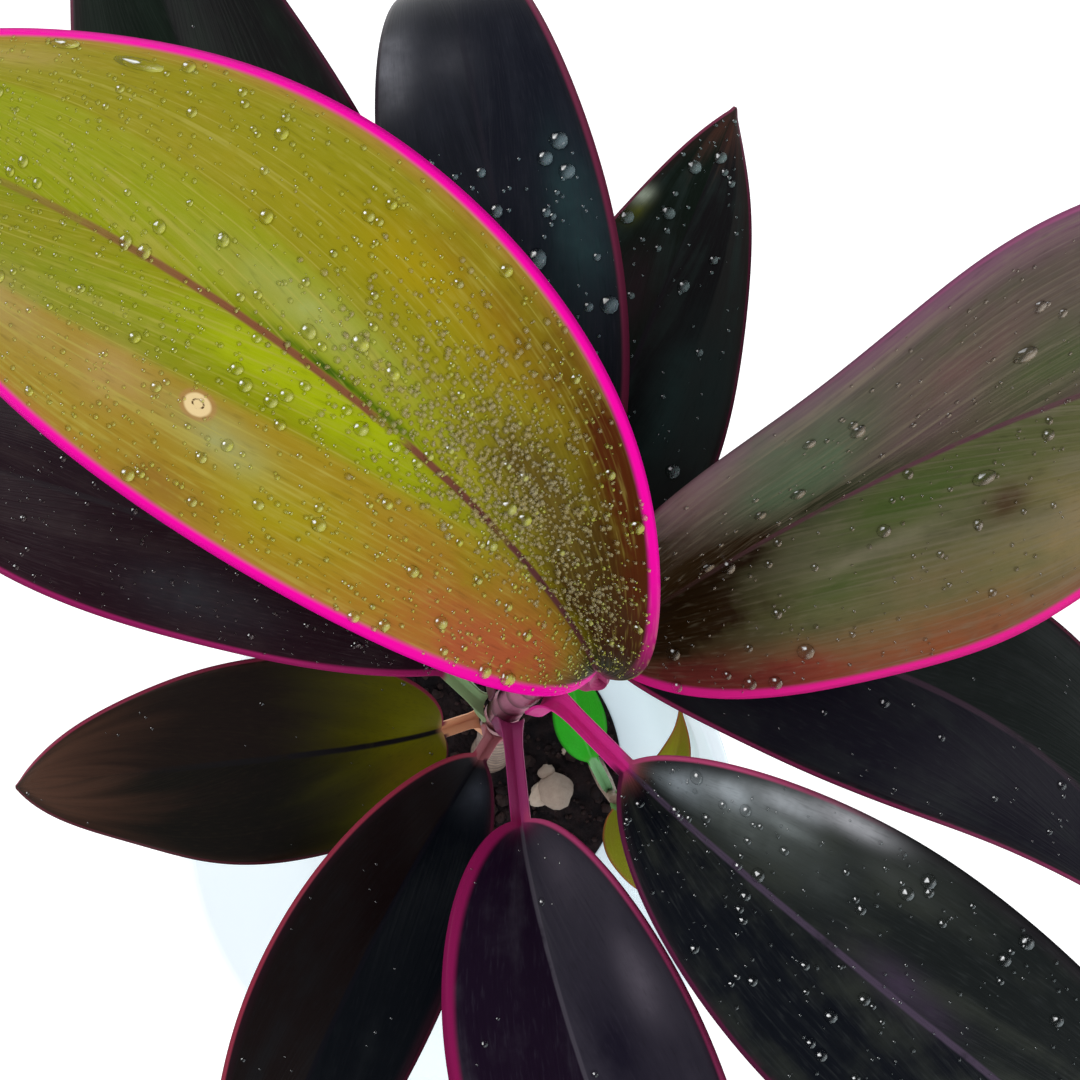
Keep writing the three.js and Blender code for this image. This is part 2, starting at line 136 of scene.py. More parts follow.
class Paint:
    """A material and the nodes that are added to it."""

    def __init__(self, name: str) -> None:
        """Start a material with one Principled shader.

        Args:
            name: The material's name.
        """
        self.material = bpy.data.materials.new(name)
        self.material.use_nodes = True
        self.tree = self.material.node_tree
        self.shader = self.tree.nodes["Principled BSDF"]

    def node(self, kind: str, settings: dict, inputs: dict) -> bpy.types.Node:
        """Add a node.

        Args:
            kind: The node's type.
            settings: Its own settings, which are set first.
            inputs: A number, colour or link for each socket, by name or by place.

        Returns:
            The node.
        """
        made = self.tree.nodes.new(kind)
        for name, setting in settings.items():
            setattr(made, name, setting)
        for name, given in inputs.items():
            self.feed(made.inputs[name], given)
        return made

    def feed(self, socket: Socket, given: object) -> None:
        """Link or set one input socket.

        Args:
            socket: The input.
            given: A Value, a socket, a colour or a number.
        """
        if isinstance(given, Value):
            self.tree.links.new(given.socket, socket)
        elif isinstance(given, Socket):
            self.tree.links.new(given, socket)
        elif isinstance(given, tuple) and len(given) == 3 and len(socket.default_value) == 4:
            socket.default_value = (*given, 1.0)
        else:
            socket.default_value = given

    def attribute(self, name: str) -> Value:
        """Return a number that the mesh holds at its vertices."""
        made = self.node("ShaderNodeAttribute", {"attribute_name": name}, {})
        return Value(self, made.outputs["Fac"])

    def towards(self, name: str, way: Triple) -> Value:
        """Return how far a vector that the mesh holds points one way.

        Args:
            name: The vector's name.
            way: The direction, of length 1.

        Returns:
            The share, 1 where it points exactly that way.
        """
        held = self.node("ShaderNodeAttribute", {"attribute_name": name}, {}).outputs["Vector"]
        made = self.node("ShaderNodeVectorMath", {"operation": "DOT_PRODUCT"}, {0: held, 1: way})
        return Value(self, made.outputs["Value"])

    def place(self) -> Socket:
        """Return the Object coordinates."""
        return self.node("ShaderNodeTexCoord", {}, {}).outputs["Object"]

    def vector(self, x: Value | float, y: Value | float, z: Value | float) -> Socket:
        """Return a vector of three numbers."""
        return self.node("ShaderNodeCombineXYZ", {}, {"X": x, "Y": y, "Z": z}).outputs[0]

    def grain(self, where: Socket, scale: float, detail: float = 2.0, rough: float = 0.5) -> Value:
        """Add a noise.

        Args:
            where: Its coordinates.
            scale: Its scale.
            detail: Its number of octaves.
            rough: How strong the finer octaves are.

        Returns:
            The noise, about 0 to 1.
        """
        inputs = {"Vector": where, "Scale": scale, "Detail": detail, "Roughness": rough}
        return Value(self, self.node("ShaderNodeTexNoise", {}, inputs).outputs["Fac"])

    def blend(self, under: object, over: object, share: Value | float) -> Socket:
        """Mix two colours.

        Args:
            under: The colour where share is 0.
            over: The colour where share is 1.
            share: How much of over shows.

        Returns:
            The mixed colour.
        """
        made = self.node("ShaderNodeMix", {"data_type": "RGBA"}, {0: share, 6: under, 7: over})
        return made.outputs[2]

    def finish(
        self, colour: object, rough: object, height: Value | None, depth: float, **fixed: float
    ) -> None:
        """Feed the shader.

        Args:
            colour: The base colour.
            rough: The roughness.
            height: The relief, or None.
            depth: The relief's depth in metres.
            **fixed: Numbers set on the shader's own sockets, with _ for a space.
        """
        self.feed(self.shader.inputs["Base Color"], colour)
        self.feed(self.shader.inputs["Roughness"], rough)
        for name, number in fixed.items():
            self.feed(self.shader.inputs[name.replace("_", " ")], number)
        if height is not None:
            bump = self.node("ShaderNodeBump", {}, {"Height": height, "Distance": depth, "Strength": 1.0})
            self.feed(self.shader.inputs["Normal"], bump.outputs["Normal"])


def sheet(name: str, rows: int, columns: int, place: Place, facts: Facts = lambda *_: {}) -> Object:
    """Make one closed piece from a grid that is bent round and closed on itself.

    Args:
        name: The piece's name.
        rows: Cells along it.
        columns: Cells round it.
        place: Gives a point in millimetres for two shares from 0 to 1, along and round.
        facts: Gives the numbers to hold at a vertex, by name, for the same two shares.

    Returns:
        The piece, at the origin, with its faces outward.
    """
    bm = bmesh.new()
    bmesh.ops.create_grid(bm, x_segments=rows, y_segments=columns, size=1.0)
    layers = {key: bm.verts.layers.float.new(key) for key in facts(0, 0)}
    for vert in bm.verts:
        along = round((vert.co.x + 1) / 2 * rows) / rows
        round_it = round((vert.co.y + 1) / 2 * columns) / columns
        for key, fact in facts(along, round_it).items():
            vert[layers[key]] = fact
        vert.co = place(along, round_it) * MM
    return closed_piece(name, bm)


def closed_piece(name: str, bm: bmesh.types.BMesh) -> Object:
    """Close a mesh, turn its faces outward and make it a smooth piece.

    Args:
        name: The piece's name.
        bm: The mesh, in metres, which is used up.

    Returns:
        The piece.
    """
    bmesh.ops.remove_doubles(bm, verts=bm.verts, dist=WELD)
    bmesh.ops.dissolve_degenerate(bm, edges=bm.edges, dist=WELD)
    bmesh.ops.holes_fill(bm, edges=[edge for edge in bm.edges if edge.is_boundary], sides=0)
    if bm.calc_volume(signed=True) < 0:
        bmesh.ops.reverse_faces(bm, faces=bm.faces)
    return smooth_piece(name, bm)


def smooth_piece(name: str, bm: bmesh.types.BMesh) -> Object:
    """Make a smooth-shaded piece of a mesh.

    Args:
        name: The piece's name.
        bm: The mesh, in metres, which is used up.

    Returns:
        The piece.
    """
    for face in bm.faces:
        face.smooth = True
    mesh = bpy.data.meshes.new(name)
    bm.to_mesh(mesh)
    bm.free()
    piece = bpy.data.objects.new(name, mesh)
    bpy.context.scene.collection.objects.link(piece)
    return piece


def dress(piece: Object, paint: Paint, nodes: tuple[str, ...] = ()) -> None:
    """Give a piece its material and its body, and hide the CAD nodes that it replaces.

    Args:
        piece: The piece.
        paint: Its material.
        nodes: The CAD nodes that it replaces.
    """
    piece.data.materials.append(paint.material)
    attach(piece, ROOT)
    if nodes:
        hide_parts(*nodes)
    log.info("%s: %d faces", piece.name, len(piece.data.polygons))


class Heap:
    """Many small balls in one mesh, gathered a batch at a time so that it stays quick.

    knobs is the scale of the noise that makes a ball uneven, and apart how far apart in it
    the darkest and the palest ball lie, so that no two look alike.
    """

    batch = 40
    knobs = 1.7
    apart = 90

    def __init__(self, name: str) -> None:
        """Start an empty heap.

        Args:
            name: The name of the piece that it becomes.
        """
        self.name = name
        self.whole = self.empty()
        self.part = self.empty()
        self.balls = 0

    def empty(self) -> bmesh.types.BMesh:
        """Start a mesh.

        Returns:
            The mesh, with layers for a ball's tone, a vertex's height on it and its facing.
        """
        bm = bmesh.new()
        bm.verts.layers.float.new("tone")
        bm.verts.layers.float.new("high")
        bm.verts.layers.float_vector.new("facing")
        return bm

    def ball(self, place: Matrix, subdivisions: int, tone: float = 0.0, rough: float = 0.0) -> None:
        """Add a ball.

        Args:
            place: Turns, sizes and places a ball of radius 1.
            subdivisions: 1 for 20 faces, 2 for 80, 3 for 320.
            tone: A number that its material can read.
            rough: How far in metres its vertices are pushed about.
        """
        made = bmesh.ops.create_icosphere(self.part, subdivisions=subdivisions, radius=1.0, matrix=place)
        numbers, vectors = self.part.verts.layers.float, self.part.verts.layers.float_vector
        back, turned, apart = place.inverted(), place.to_quaternion(), Vector((tone * self.apart, 0, 0))
        for vert in made["verts"]:
            own = back @ vert.co
            vert[numbers["tone"]] = tone
            vert[numbers["high"]] = own.z
            vert[vectors["facing"]] = turned @ own
            if rough:
                vert.co += noise.noise_vector(own * self.knobs + apart) * rough
        self.balls += 1
        if self.balls % self.batch == 0:
            self.gather()

    def gather(self) -> None:
        """Move the waiting batch into the whole mesh."""
        carrier = bpy.data.meshes.new(self.name)
        self.part.to_mesh(carrier)
        self.whole.from_mesh(carrier)
        bpy.data.meshes.remove(carrier)
        self.part.free()
        self.part = self.empty()

    def piece(self) -> Object:
        """Gather what waits.

        Returns:
            All the balls as one piece.
        """
        self.gather()
        self.part.free()
        return smooth_piece(self.name, self.whole)


class Curve:
    """The smooth line through a few points, as the CAD draws it."""

    steps = 200
    nudge = 1e-3
    halvings = 30

    def __init__(self, points: tuple[Triple, ...]) -> None:
        """Keep the points and measure the line.

        Args:
            points: Points in millimetres.
        """
        self.points = [Vector(point) for point in points]
        first, second, last, before = self.points[0], self.points[1], self.points[-1], self.points[-2]
        self.guides = [2 * first - second, *self.points, 2 * last - before]
        self.lengths = [0.0]
        for i in range(self.steps):
            gap = self.at((i + 1) / self.steps) - self.at(i / self.steps)
            self.lengths.append(self.lengths[-1] + gap.length)

    def at(self, share: float) -> Vector:
        """Find a point of the line.

        Args:
            share: The share of the line's spans.

        Returns:
            The point in millimetres.
        """
        spans = len(self.points) - 1
        span = min(int(share * spans), spans - 1)
        weight = share * spans - span
        a, b, c, d = self.guides[span : span + 4]
        gaps = [math.sqrt((q - p).length) for p, q in ((a, b), (b, c), (c, d))]
        leave = ((b - a) / gaps[0] - (c - a) / (gaps[0] + gaps[1]) + (c - b) / gaps[1]) * gaps[1]
        arrive = ((c - b) / gaps[1] - (d - b) / (gaps[1] + gaps[2]) + (d - c) / gaps[2]) * gaps[1]
        bend = 3 * (c - b) - 2 * leave - arrive
        twist = 2 * (b - c) + leave + arrive
        return b + leave * weight + bend * weight**2 + twist * weight**3

    def heading(self, share: float) -> Vector:
        """Return the line's direction at a share of its spans."""
        return (self.at(min(share + self.nudge, 1)) - self.at(max(share - self.nudge, 0))).normalized()

    def at_height(self, height: float) -> float:
        """Find where the line, which only rises, reaches a height.

        Args:
            height: The height in millimetres.

        Returns:
            The share of the line's spans.
        """
        low, high = 0.0, 1.0
        for _ in range(self.halvings):
            middle = (low + high) / 2
            if self.at(middle).z < height:
                low = middle
            else:
                high = middle
        return low

    def at_length(self, part: float) -> float:
        """Find where a part of the line's length is reached.

        Args:
            part: The share of the line's length.

        Returns:
            The share of its spans.
        """
        wanted = part * self.lengths[-1]
        place = min(max(bisect_left(self.lengths, wanted), 1), self.steps)
        before, after = self.lengths[place - 1], self.lengths[place]
        return (place - 1 + (wanted - before) / (after - before)) / self.steps


@dataclass(frozen=True)
class Hold:
    """What a leaf grows on: a point, a direction and the radius that it clasps."""

    point: Vector
    along: Vector
    clasp: float


@dataclass(frozen=True)
class Row:
    """One row across a leaf."""

    share: float
    length: float
    centre: Vector
    along: Vector
    across: Vector
    up: Vector
    free: float


@dataclass(frozen=True)
class Blade:
    """One leaf's sizes, which are the CAD's own.

    Lengths are millimetres and angles are degrees. Where three angles are given, they hold
    at the blade's foot, a third along it and at its point. dent folds one half up further:
    which half (1 left, -1 right), round which share of the blade, how far, and by how much.

    From petiole_width on, the values are the same for all leaves: the sections of petiole,
    midrib and blade, the sheath's half angle wrap, the shares of the petiole between which
    it lets go of the cane, the shares of the blade by which the curl has spread and the
    section has settled and between which a nod sets in, and the ripples of the edges.
    """

    petiole: float
    blade: Pair
    clasp: float
    turn: Triple
    slope: Triple
    fold: Triple
    curl: float = 18
    wave: float = 1
    roll: Triple = (0, 0, 0)
    nod: float = 0
    ease: float = 0.7
    blunt: float = 1
    lean: float = 0
    dent: Four = (1, 0.5, 0.1, 0)

    petiole_width: float = 4.4
    petiole_depth: float = 2.4
    rib_depth: float = 2.2
    rib_tip_depth: float = 0.8
    rib_reach: float = 0.2
    petiole_reach: float = 0.9
    blade_depth: float = 0.6
    tip_width: float = 1.2
    wrap: float = 42
    lets_go: Pair = (0.12, 0.6)
    spread_by: float = 0.35
    settle_by: float = 0.1
    nod_from: Pair = (0.5, 0.95)
    bend_ease: float = 0.65
    row_ease: float = 1.2
    ripples: float = 2.5
    ripple_shift: float = 1.9
    crease: float = 0.02
    edge_round: float = 0.1
    walk: int = 2

    def through(self, values: Triple, share: float) -> float:
        """Find a value on the curve through three.

        Args:
            values: The values at the blade's foot, a third along it and at its point.
            share: The share of the blade.

        Returns:
            The value there.
        """
        foot, third, point = values
        t = share**self.bend_ease
        return foot * (1 - t) * (1 - 2 * t) + third * 4 * t * (1 - t) + point * t * (2 * t - 1)

    def share_of(self, length: float) -> float:
        """Return the share of the blade at a length from the leaf's foot."""
        return max(length - self.petiole, 0) / self.blade[0]

    def own_petiole_width(self) -> float:
        """Return the petiole's width, which is less on a small leaf."""
        return min(self.petiole_width, self.blade[1] / 4)

    def half_width(self, share: float) -> float:
        """Work out half the blade's width.

        Args:
            share: The share of the blade's length.

        Returns:
            The half width in millimetres, which is the petiole's where share is 0.
        """
        outline = max(math.sin(math.pi * share**self.ease), 0) ** self.blunt
        shaft = self.own_petiole_width() / 2 * (1 - share)
        return math.hypot(self.blade[1] / 2 * outline, shaft, self.tip_width / 2)

    def row(self, length: float, centre: Vector, hold: Hold) -> Row:
        """Return the directions at a length from the leaf's foot.

        Args:
            length: The length.
            centre: The midrib's point there.
            hold: What the leaf grows on.

        Returns:
            The row.
        """
        share = self.share_of(length)
        free = smooth(length / self.petiole, *self.lets_go)
        heading = math.radians(mix(self.clasp, self.through(self.turn, share), free))
        slope = math.radians(self.through(self.slope, share) - self.nod * smooth(share, *self.nod_from))
        along = Vector((math.cos(heading), math.sin(heading), 0)) * math.cos(slope)
        along.z = math.sin(slope)
        along = along.lerp(hold.along, 1 - free).normalized()
        across = Vector((-math.sin(heading), math.cos(heading), 0))
        across = (across - along * across.dot(along)).normalized()
        across.rotate(Quaternion(along, math.radians(self.through(self.roll, share)) * free))
        return Row(share, length, centre, along, across, along.cross(across), free)

    def rows(self, hold: Hold, petiole_rows: int, blade_rows: int) -> list[Row]:
        """Walk up the midrib.

        Args:
            hold: What the leaf grows on.
            petiole_rows: Rows on the petiole.
            blade_rows: Rows on the blade.

        Returns:
            The rows, from the foot to the point.
        """
        turned = math.radians(self.clasp)
        outward = Vector((math.cos(turned), math.sin(turned), 0))
        outward = (outward - hold.along * outward.dot(hold.along)).normalized()
        centre = hold.point + outward * hold.clasp
        lengths = [self.petiole * i / petiole_rows for i in range(petiole_rows)]
        lengths += [
            self.petiole + self.blade[0] * (i / blade_rows) ** self.row_ease for i in range(blade_rows + 1)
        ]
        found = []
        before = 0.0
        for length in lengths:
            step = (length - before) / self.walk
            for i in range(self.walk):
                centre = centre + self.row(before + step * (i + 0.5), centre, hold).along * step
            before = length
            found.append(self.row(length, centre, hold))
        return found

    def section(self, row: Row, v: float, hold: Hold) -> Vector:
        """Return the upper face's point across and up from the midrib.

        Args:
            row: The row.
            v: The share of the half width, -1 at the right edge and 1 at the left.
            hold: What the leaf grows on.

        Returns:
            A point in the row's own plane.
        """
        share, width = row.share, self.half_width(row.share)
        spread = smooth(share, 0, self.spread_by)
        turn = math.radians(self.wrap) * v
        sheath = Vector((hold.clasp * math.sin(turn), hold.clasp * (1 - math.cos(turn))))
        side, middle, reach, angle = self.dent
        dent = angle * math.exp(-(((share - middle) / reach) ** 2)) if side * v > 0 else 0
        tilt = math.radians(self.through(self.fold, share) + dent - self.curl * spread * abs(v) / 2)
        phase = 2 * math.pi * self.ripples * share + (0 if v > 0 else self.ripple_shift)
        ripple = self.wave * math.sin(phase) * v * v * spread
        wide = width * (1 - self.lean * v)
        lifted = math.hypot(v, self.crease) - self.crease
        blade = Vector((v * wide * math.cos(tilt), lifted * wide * math.sin(tilt) + ripple))
        return sheath.lerp(blade, row.free)

    def depth(self, row: Row, v: float) -> float:
        """Work out how deep the leaf is.

        Args:
            row: The row.
            v: The share of the half width.

        Returns:
            The depth in millimetres, which is 0 at the edge.
        """
        share = row.share
        settled = smooth(share, 0, self.settle_by)
        slim = self.own_petiole_width() / self.petiole_width
        rib_foot = mix(self.petiole_depth, self.rib_depth, settled) * slim
        rib = max(mix(rib_foot, self.rib_tip_depth, share), self.blade_depth)
        reach = mix(self.petiole_reach, self.rib_reach, settled)
        full = mix(rib, self.blade_depth, smooth(abs(v), 0, reach))
        edge = max(abs(v) - (1 - self.edge_round), 0) / self.edge_round
        return full * math.sqrt(max(1 - edge * edge, 0))

    def strip(self, row: Row, hold: Hold, columns: int) -> list[tuple[Vector, Vector, float]]:
        """Return the upper face's points across a row.

        Args:
            row: The row.
            hold: What the leaf grows on.
            columns: Cells across it.

        Returns:
            For each column its point in millimetres, the way up from it and the depth below.
        """
        shares = [2 * i / columns - 1 for i in range(columns + 1)]
        flat = [self.section(row, v, hold) for v in shares]
        found = []
        for i, (v, here) in enumerate(zip(shares, flat)):
            before, after = flat[max(i - 1, 0)], flat[min(i + 1, columns)]
            normal = Vector((before.y - after.y, after.x - before.x)).normalized()
            place = row.centre + row.across * here.x + row.up * here.y
            found.append((place, row.across * normal.x + row.up * normal.y, self.depth(row, v)))
        return found


@dataclass(frozen=True)
class Dew:
    """Dew on a leaf: how many drops, how large, where the fine ones gather, and any puddles.

    glow and shade are the painted light and the painted shade of a drop, its brightest and
    darkest parts, mist the same for the finest drops, cover is how much of the leaf below
    them they hide, and gathers says where a drop's painted bright side starts and where it
    is full. specks are small drops all over the leaf, and fine ones gather in one place,
    which their share and across give. A puddle is its place along and across the leaf and
    its length and breadth in mm. Drops keep between start and reach along the leaf and
    inside edge or speck_edge across it, and of each kind large ones are the rarer the
    higher its power.
    """

    count: int
    radius: Pair
    # The painted light and the painted shade of a drop.
    glow: Colour = (0.16, 0.18, 0.19)
    shade: Colour = (0.004, 0.005, 0.006)
    cover: float = 0.6
    specks: int = 0
    fine: int = 0
    fine_share: Pair = (0.0, 0.4)
    fine_across: Pair = (-0.3, 0.8)
    mist: tuple[Colour, Colour] = ((0.12, 0.13, 0.13), (0.02, 0.02, 0.02))
    mist_cover: float = 0.6
    gathers: Pair = (0.30, 0.95)
    reach: float = 0.97
    puddles: tuple[Four, ...] = ()
    seed: int = 1

    start: float = 0.02
    edge: float = 0.92
    power: float = 4
    speck_radius: Pair = (0.18, 0.55)
    speck_edge: float = 0.93
    speck_power: float = 2
    fine_start: float = 0.01
    fine_radius: Pair = (0.25, 0.72)
    fine_power: float = 1.6
    fine_spread: float = 3.5

    def scattered(self, random: Random, count: int, radii: Pair, power: float, edge: float) -> list[Four]:
        """Draw drops that lie all over the leaf.

        Args:
            random: The stream of random numbers.
            count: How many.
            radii: The smallest and the largest radius.
            power: How rare the large ones are.
            edge: How far across the leaf they reach.

        Returns:
            For each drop its share along the leaf and across it and its two radii in mm.
        """
        found = []
        for _ in range(count):
            radius = mix(*radii, random.random() ** power)
            place = random.uniform(self.start, self.reach), random.uniform(-edge, edge)
            found.append((*place, radius, radius))
        return found

    def gathered(self, random: Random) -> list[Four]:
        """Draw the fine drops, which gather in one place.

        Args:
            random: The stream of random numbers.

        Returns:
            The drops.
        """
        found = []
        for _ in range(self.fine):
            share, v = (
                random.gauss(sum(part) / 2, (part[1] - part[0]) / self.fine_spread)
                for part in (self.fine_share, self.fine_across)
            )
            radius = mix(*self.fine_radius, random.random() ** self.fine_power)
            v = max(min(v, self.speck_edge), -self.speck_edge)
            found.append((max(share, self.fine_start), v, radius, radius))
        return found


@dataclass(frozen=True)
class StainOrPaintedLight:
    """A soft cloud of another colour on a leaf, in shares along it and across it.

    Some are the leaf's own colour, and some are painted light: a painted sheen, a painted
    highlight or painted shade.
    """

    share: float
    across: float
    length: float
    breadth: float
    colour: Colour
    strength: float = 0.8


@dataclass(frozen=True)
class Rim:
    """The coloured margin of one half of a leaf, with its width in millimetres.

    It sets in between two shares of the blade and fades between two others.
    """

    colour: Colour
    width: float
    sets_in: Pair = (-0.1, 0.0)
    fades: Pair = (1.2, 1.3)


@dataclass(frozen=True)
class LeafLook:
    """The colours of one leaf.

    left and right are the halves on either side of the midrib, seen from the foot towards
    the point, and left_outer and right_outer their outer parts, beyond the vein that
    starts at outer_from. foot and tip tint the blade's ends, patch its blotches and streak
    its veins and light flecks.
    """

    left: Colour
    right: Colour
    foot: Colour
    tip: Colour
    patch: Colour
    streak: Colour
    rib: Colour
    rims: tuple[Rim, Rim]
    hem: Colour
    petiole: Colour
    under: Colour = (0.04, 0.012, 0.022)
    rib_foot: Colour | None = None
    left_hem: Colour | None = None
    left_outer: Colour | None = None
    right_outer: Colour | None = None
    outer_from: float = 1.25
    foot_reach: float = 0.12
    tip_from: float = 0.6
    patches: float = 0.4
    streaks: float = 0.1
    flecks: float = 0.25
    lines: float = 0.0
    hem_width: float = 3.0
    rib_width: float = 0.8
    rough: float = 0.36
    shine: float = 0.05
    relief: float = 0.00003
    seed: float = 0.0
    spot: Pair | None = None
    stains_and_painted_light: tuple[StainOrPaintedLight, ...] = ()


class LeafPaint(Paint):
    """The material of one leaf, which follows its blade from foot to point and edge to edge.

    What ends in drawn is a noise drawn out along the veins: its scale, how quickly it
    changes along them and its octaves. cloud_noise is a plain one: its scale, octaves and
    roughness. Most pairs are where a smooth step starts and where it is full, of a share of
    the blade, of millimetres or of a noise.
    """

    vein_spread = 1.6
    veins_drawn = (17.0, 1.2, 1.0)
    hairs_drawn = (46.0, 2.5, 1.0)
    lines_drawn = (8.0, 1.0, 0.0)
    flecks_drawn = (26.0, 45.0, 2.0)
    broad_drawn = (1.6, 2.2, 3.0)
    cloud_noise = (95.0, 4.0, 0.6)
    ridges = (0.3, 0.7)
    groove_wide = 1.4
    rough_varies = 0.12
    seam = 0.015
    line_width = 0.05
    outer_fade = 0.12
    blotches = (0.46, 0.66)
    ends_wander = 0.3
    foot_wander = 1.5
    tip_full = 1.02
    hem_full = 0.6
    hem_strength = 0.8
    hem_wander = 3.0
    clear_of_foot = (0.10, 0.34)
    vein_streaks = (0.5, 0.78)
    hair_streaks = (0.55, 0.75)
    broken_lines = (0.3, 0.6)
    pale_flecks = (0.52, 0.78)
    dark_flecks = (0.45, 0.22)
    rib_wander = 0.4
    rib_full = 0.4
    rib_colours = (0.12, 0.34)
    rib_breaks = (0.25, 0.45)
    rib_ends = (0.8, 0.4)
    petiole_meets = 0.02
    under_meets = 0.03
    rim_full = 0.55
    rim_swells = 0.25
    swells_until = (0.3, 0.0)
    stain_or_light_noise = (1.7, 0.9)
    stain_or_light_fall = -1.5
    scar_colours = ((0.42, 0.20, 0.08), (0.80, 0.60, 0.30), (0.10, 0.05, 0.015))
    scar_edges = ((7.0, 4.0), (3.6, 2.2), (0.22, 0.08), (0.4, 0.55))
    scar_squashed = 0.72
    scar_ring = 0.45
    black = (0.0, 0.0, 0.0)

    def __init__(self, name: str, look: LeafLook, blade: Blade) -> None:
        """Build the material.

        Args:
            name: The material's name.
            look: The leaf's colours.
            blade: The leaf's sizes.
        """
        super().__init__(name)
        self.look = look
        self.blade = blade
        self.share = self.attribute("share")
        self.across = self.attribute("across")
        self.inset = self.attribute("inset")
        self.offset = self.attribute("offset")
        self.top = self.attribute("top")
        self.left = self.across.step(-self.seam, self.seam)
        self.follow = (1 - abs(self.across)) * (self.share * self.vein_spread).grown()
        self.cloud = self.grain(self.place(), *self.cloud_noise)
        self.broad = self.veins(*self.broad_drawn)
        self.vein = self.veins(*self.veins_drawn)
        self.hair = self.veins(*self.hairs_drawn)
        self.line = abs(self.veins(*self.lines_drawn) - 0.5).step(self.line_width, 0.0)
        self.fleck = self.veins(*self.flecks_drawn)
        colour = self.blend(self.lower(), self.upper(), self.top)
        groove = abs(self.offset).step(look.rib_width * self.groove_wide, 0.0)
        height = self.vein.step(*self.ridges) * 0.7 + self.hair * 0.3 - groove * self.top
        rough = self.broad * self.rough_varies + (look.rough - self.rough_varies / 2)
        self.finish(colour, rough, height, look.relief, Specular_IOR_Level=look.shine)

    def veins(self, scale: float, along: float, detail: float) -> Value:
        """Return a noise that is drawn out along the veins.

        Args:
            scale: How many veins there are.
            along: How quickly it changes along them.
            detail: Its number of octaves.

        Returns:
            The noise, about 0 to 1.
        """
        where = self.vector(self.follow * scale, self.share * along, self.left * 3.0 + self.look.seed)
        return self.grain(where, 1.0, detail)

    def sides(self, right: object, left: object) -> Socket:
        """Return one colour on the right half and another on the left."""
        return self.blend(right, left, self.left)

    def upper(self) -> Socket:
        """Lay the upper face's colours over one another.

        Returns:
            The upper face's colour.
        """
        look = self.look
        colour = self.sides(look.right, look.left)
        outer = self.sides(look.right_outer or look.right, look.left_outer or look.left)
        beyond = self.follow.step(look.outer_from, look.outer_from - self.outer_fade)
        colour = self.blend(colour, outer, beyond)
        patch = (self.broad * 0.6 + self.cloud * 0.4).step(*self.blotches) * look.patches
        colour = self.blend(colour, look.patch, patch)
        wander = self.broad * self.ends_wander - self.ends_wander / 2
        colour = self.blend(colour, look.tip, (self.share + wander).step(look.tip_from, self.tip_full))
        hem = (self.inset + (self.broad - 0.5) * self.hem_wander).step(look.hem_width, self.hem_full)
        colour = self.blend(colour, self.sides(look.hem, look.left_hem or look.hem), hem * self.hem_strength)
        # Soft clouds: some are the leaf's own colour, some are a painted sheen, highlight or shade.
        for stain_or_light in look.stains_and_painted_light:
            colour = self.stained_or_lit(colour, stain_or_light)
        foot = (self.share + wander * look.foot_reach * self.foot_wander).step(look.foot_reach, 0.0)
        colour = self.blend(colour, look.foot, foot * foot)
        clear = self.share.step(*self.clear_of_foot)
        for marks in (
            self.vein.step(*self.vein_streaks) * clear * look.streaks,
            self.hair.step(*self.hair_streaks) * clear * look.streaks,
            self.line * self.cloud.step(*self.broken_lines) * clear * look.lines,
            self.fleck.step(*self.pale_flecks) * look.flecks,
        ):
            colour = self.blend(colour, look.streak, marks)
        colour = self.blend(colour, self.black, self.fleck.step(*self.dark_flecks) * (look.flecks * 0.8))
        aside = abs(self.offset + (self.cloud - 0.5) * self.rib_wander)
        rib = aside.step(look.rib_width, look.rib_width * self.rib_full)
        rib_colour = self.blend(look.rib_foot or look.rib, look.rib, self.share.step(*self.rib_colours))
        broken = self.cloud.step(*self.rib_breaks) * self.share.step(*self.rib_ends)
        colour = self.blend(colour, rib_colour, rib * broken)
        if look.spot:
            colour = self.blemish(colour, *look.spot)
        petiole = self.share.step(self.petiole_meets, -self.petiole_meets)
        return self.rimmed(self.blend(colour, look.petiole, petiole))

    def lower(self) -> Socket:
        """Return the lower face's colour."""
        petiole = self.share.step(self.under_meets, -self.under_meets)
        return self.rimmed(self.blend(self.look.under, self.look.petiole, petiole))

    def stained_or_lit(self, colour: Socket, stain_or_light: StainOrPaintedLight) -> Socket:
        """Lay a soft cloud over a colour: the leaf's own colour, a painted sheen or painted shade.

        Args:
            colour: The colour below it.
            stain_or_light: The stain.

        Returns:
            The colour with the cloud over it.
        """
        fine, broad = self.stain_or_light_noise
        along = (self.share - stain_or_light.share) * (1 / stain_or_light.length)
        aside = (self.across - stain_or_light.across) * (1 / stain_or_light.breadth)
        away = along * along + aside * aside + (self.cloud - 0.5) * fine + (self.broad - 0.5) * broad
        return self.blend(colour, stain_or_light.colour, (away * self.stain_or_light_fall).grown() * stain_or_light.strength)

    def blemish(self, colour: Socket, share: float, across: float) -> Socket:
        """Lay a small pale scar with dark marks over a colour.

        Args:
            colour: The colour below it.
            share: Its place along the blade.
            across: Its place across it.

        Returns:
            The colour with the scar.
        """
        long, wide = self.blade.blade
        halo, pale, dark = self.scar_colours
        halo_edge, pale_edge, dark_edge, broken = self.scar_edges
        along = (self.share - share) * long * self.scar_squashed
        aside = (self.across - across) * (wide / 2)
        away = along * along + aside * aside + (self.cloud - 0.5) * 2.0
        marks = abs(along * along * 0.9 + (aside + 0.2) * (aside + 0.2) - self.scar_ring)
        colour = self.blend(colour, halo, away.step(*halo_edge) * 0.6)
        colour = self.blend(colour, pale, away.step(*pale_edge))
        return self.blend(colour, dark, marks.step(*dark_edge) * self.hair.step(*broken))

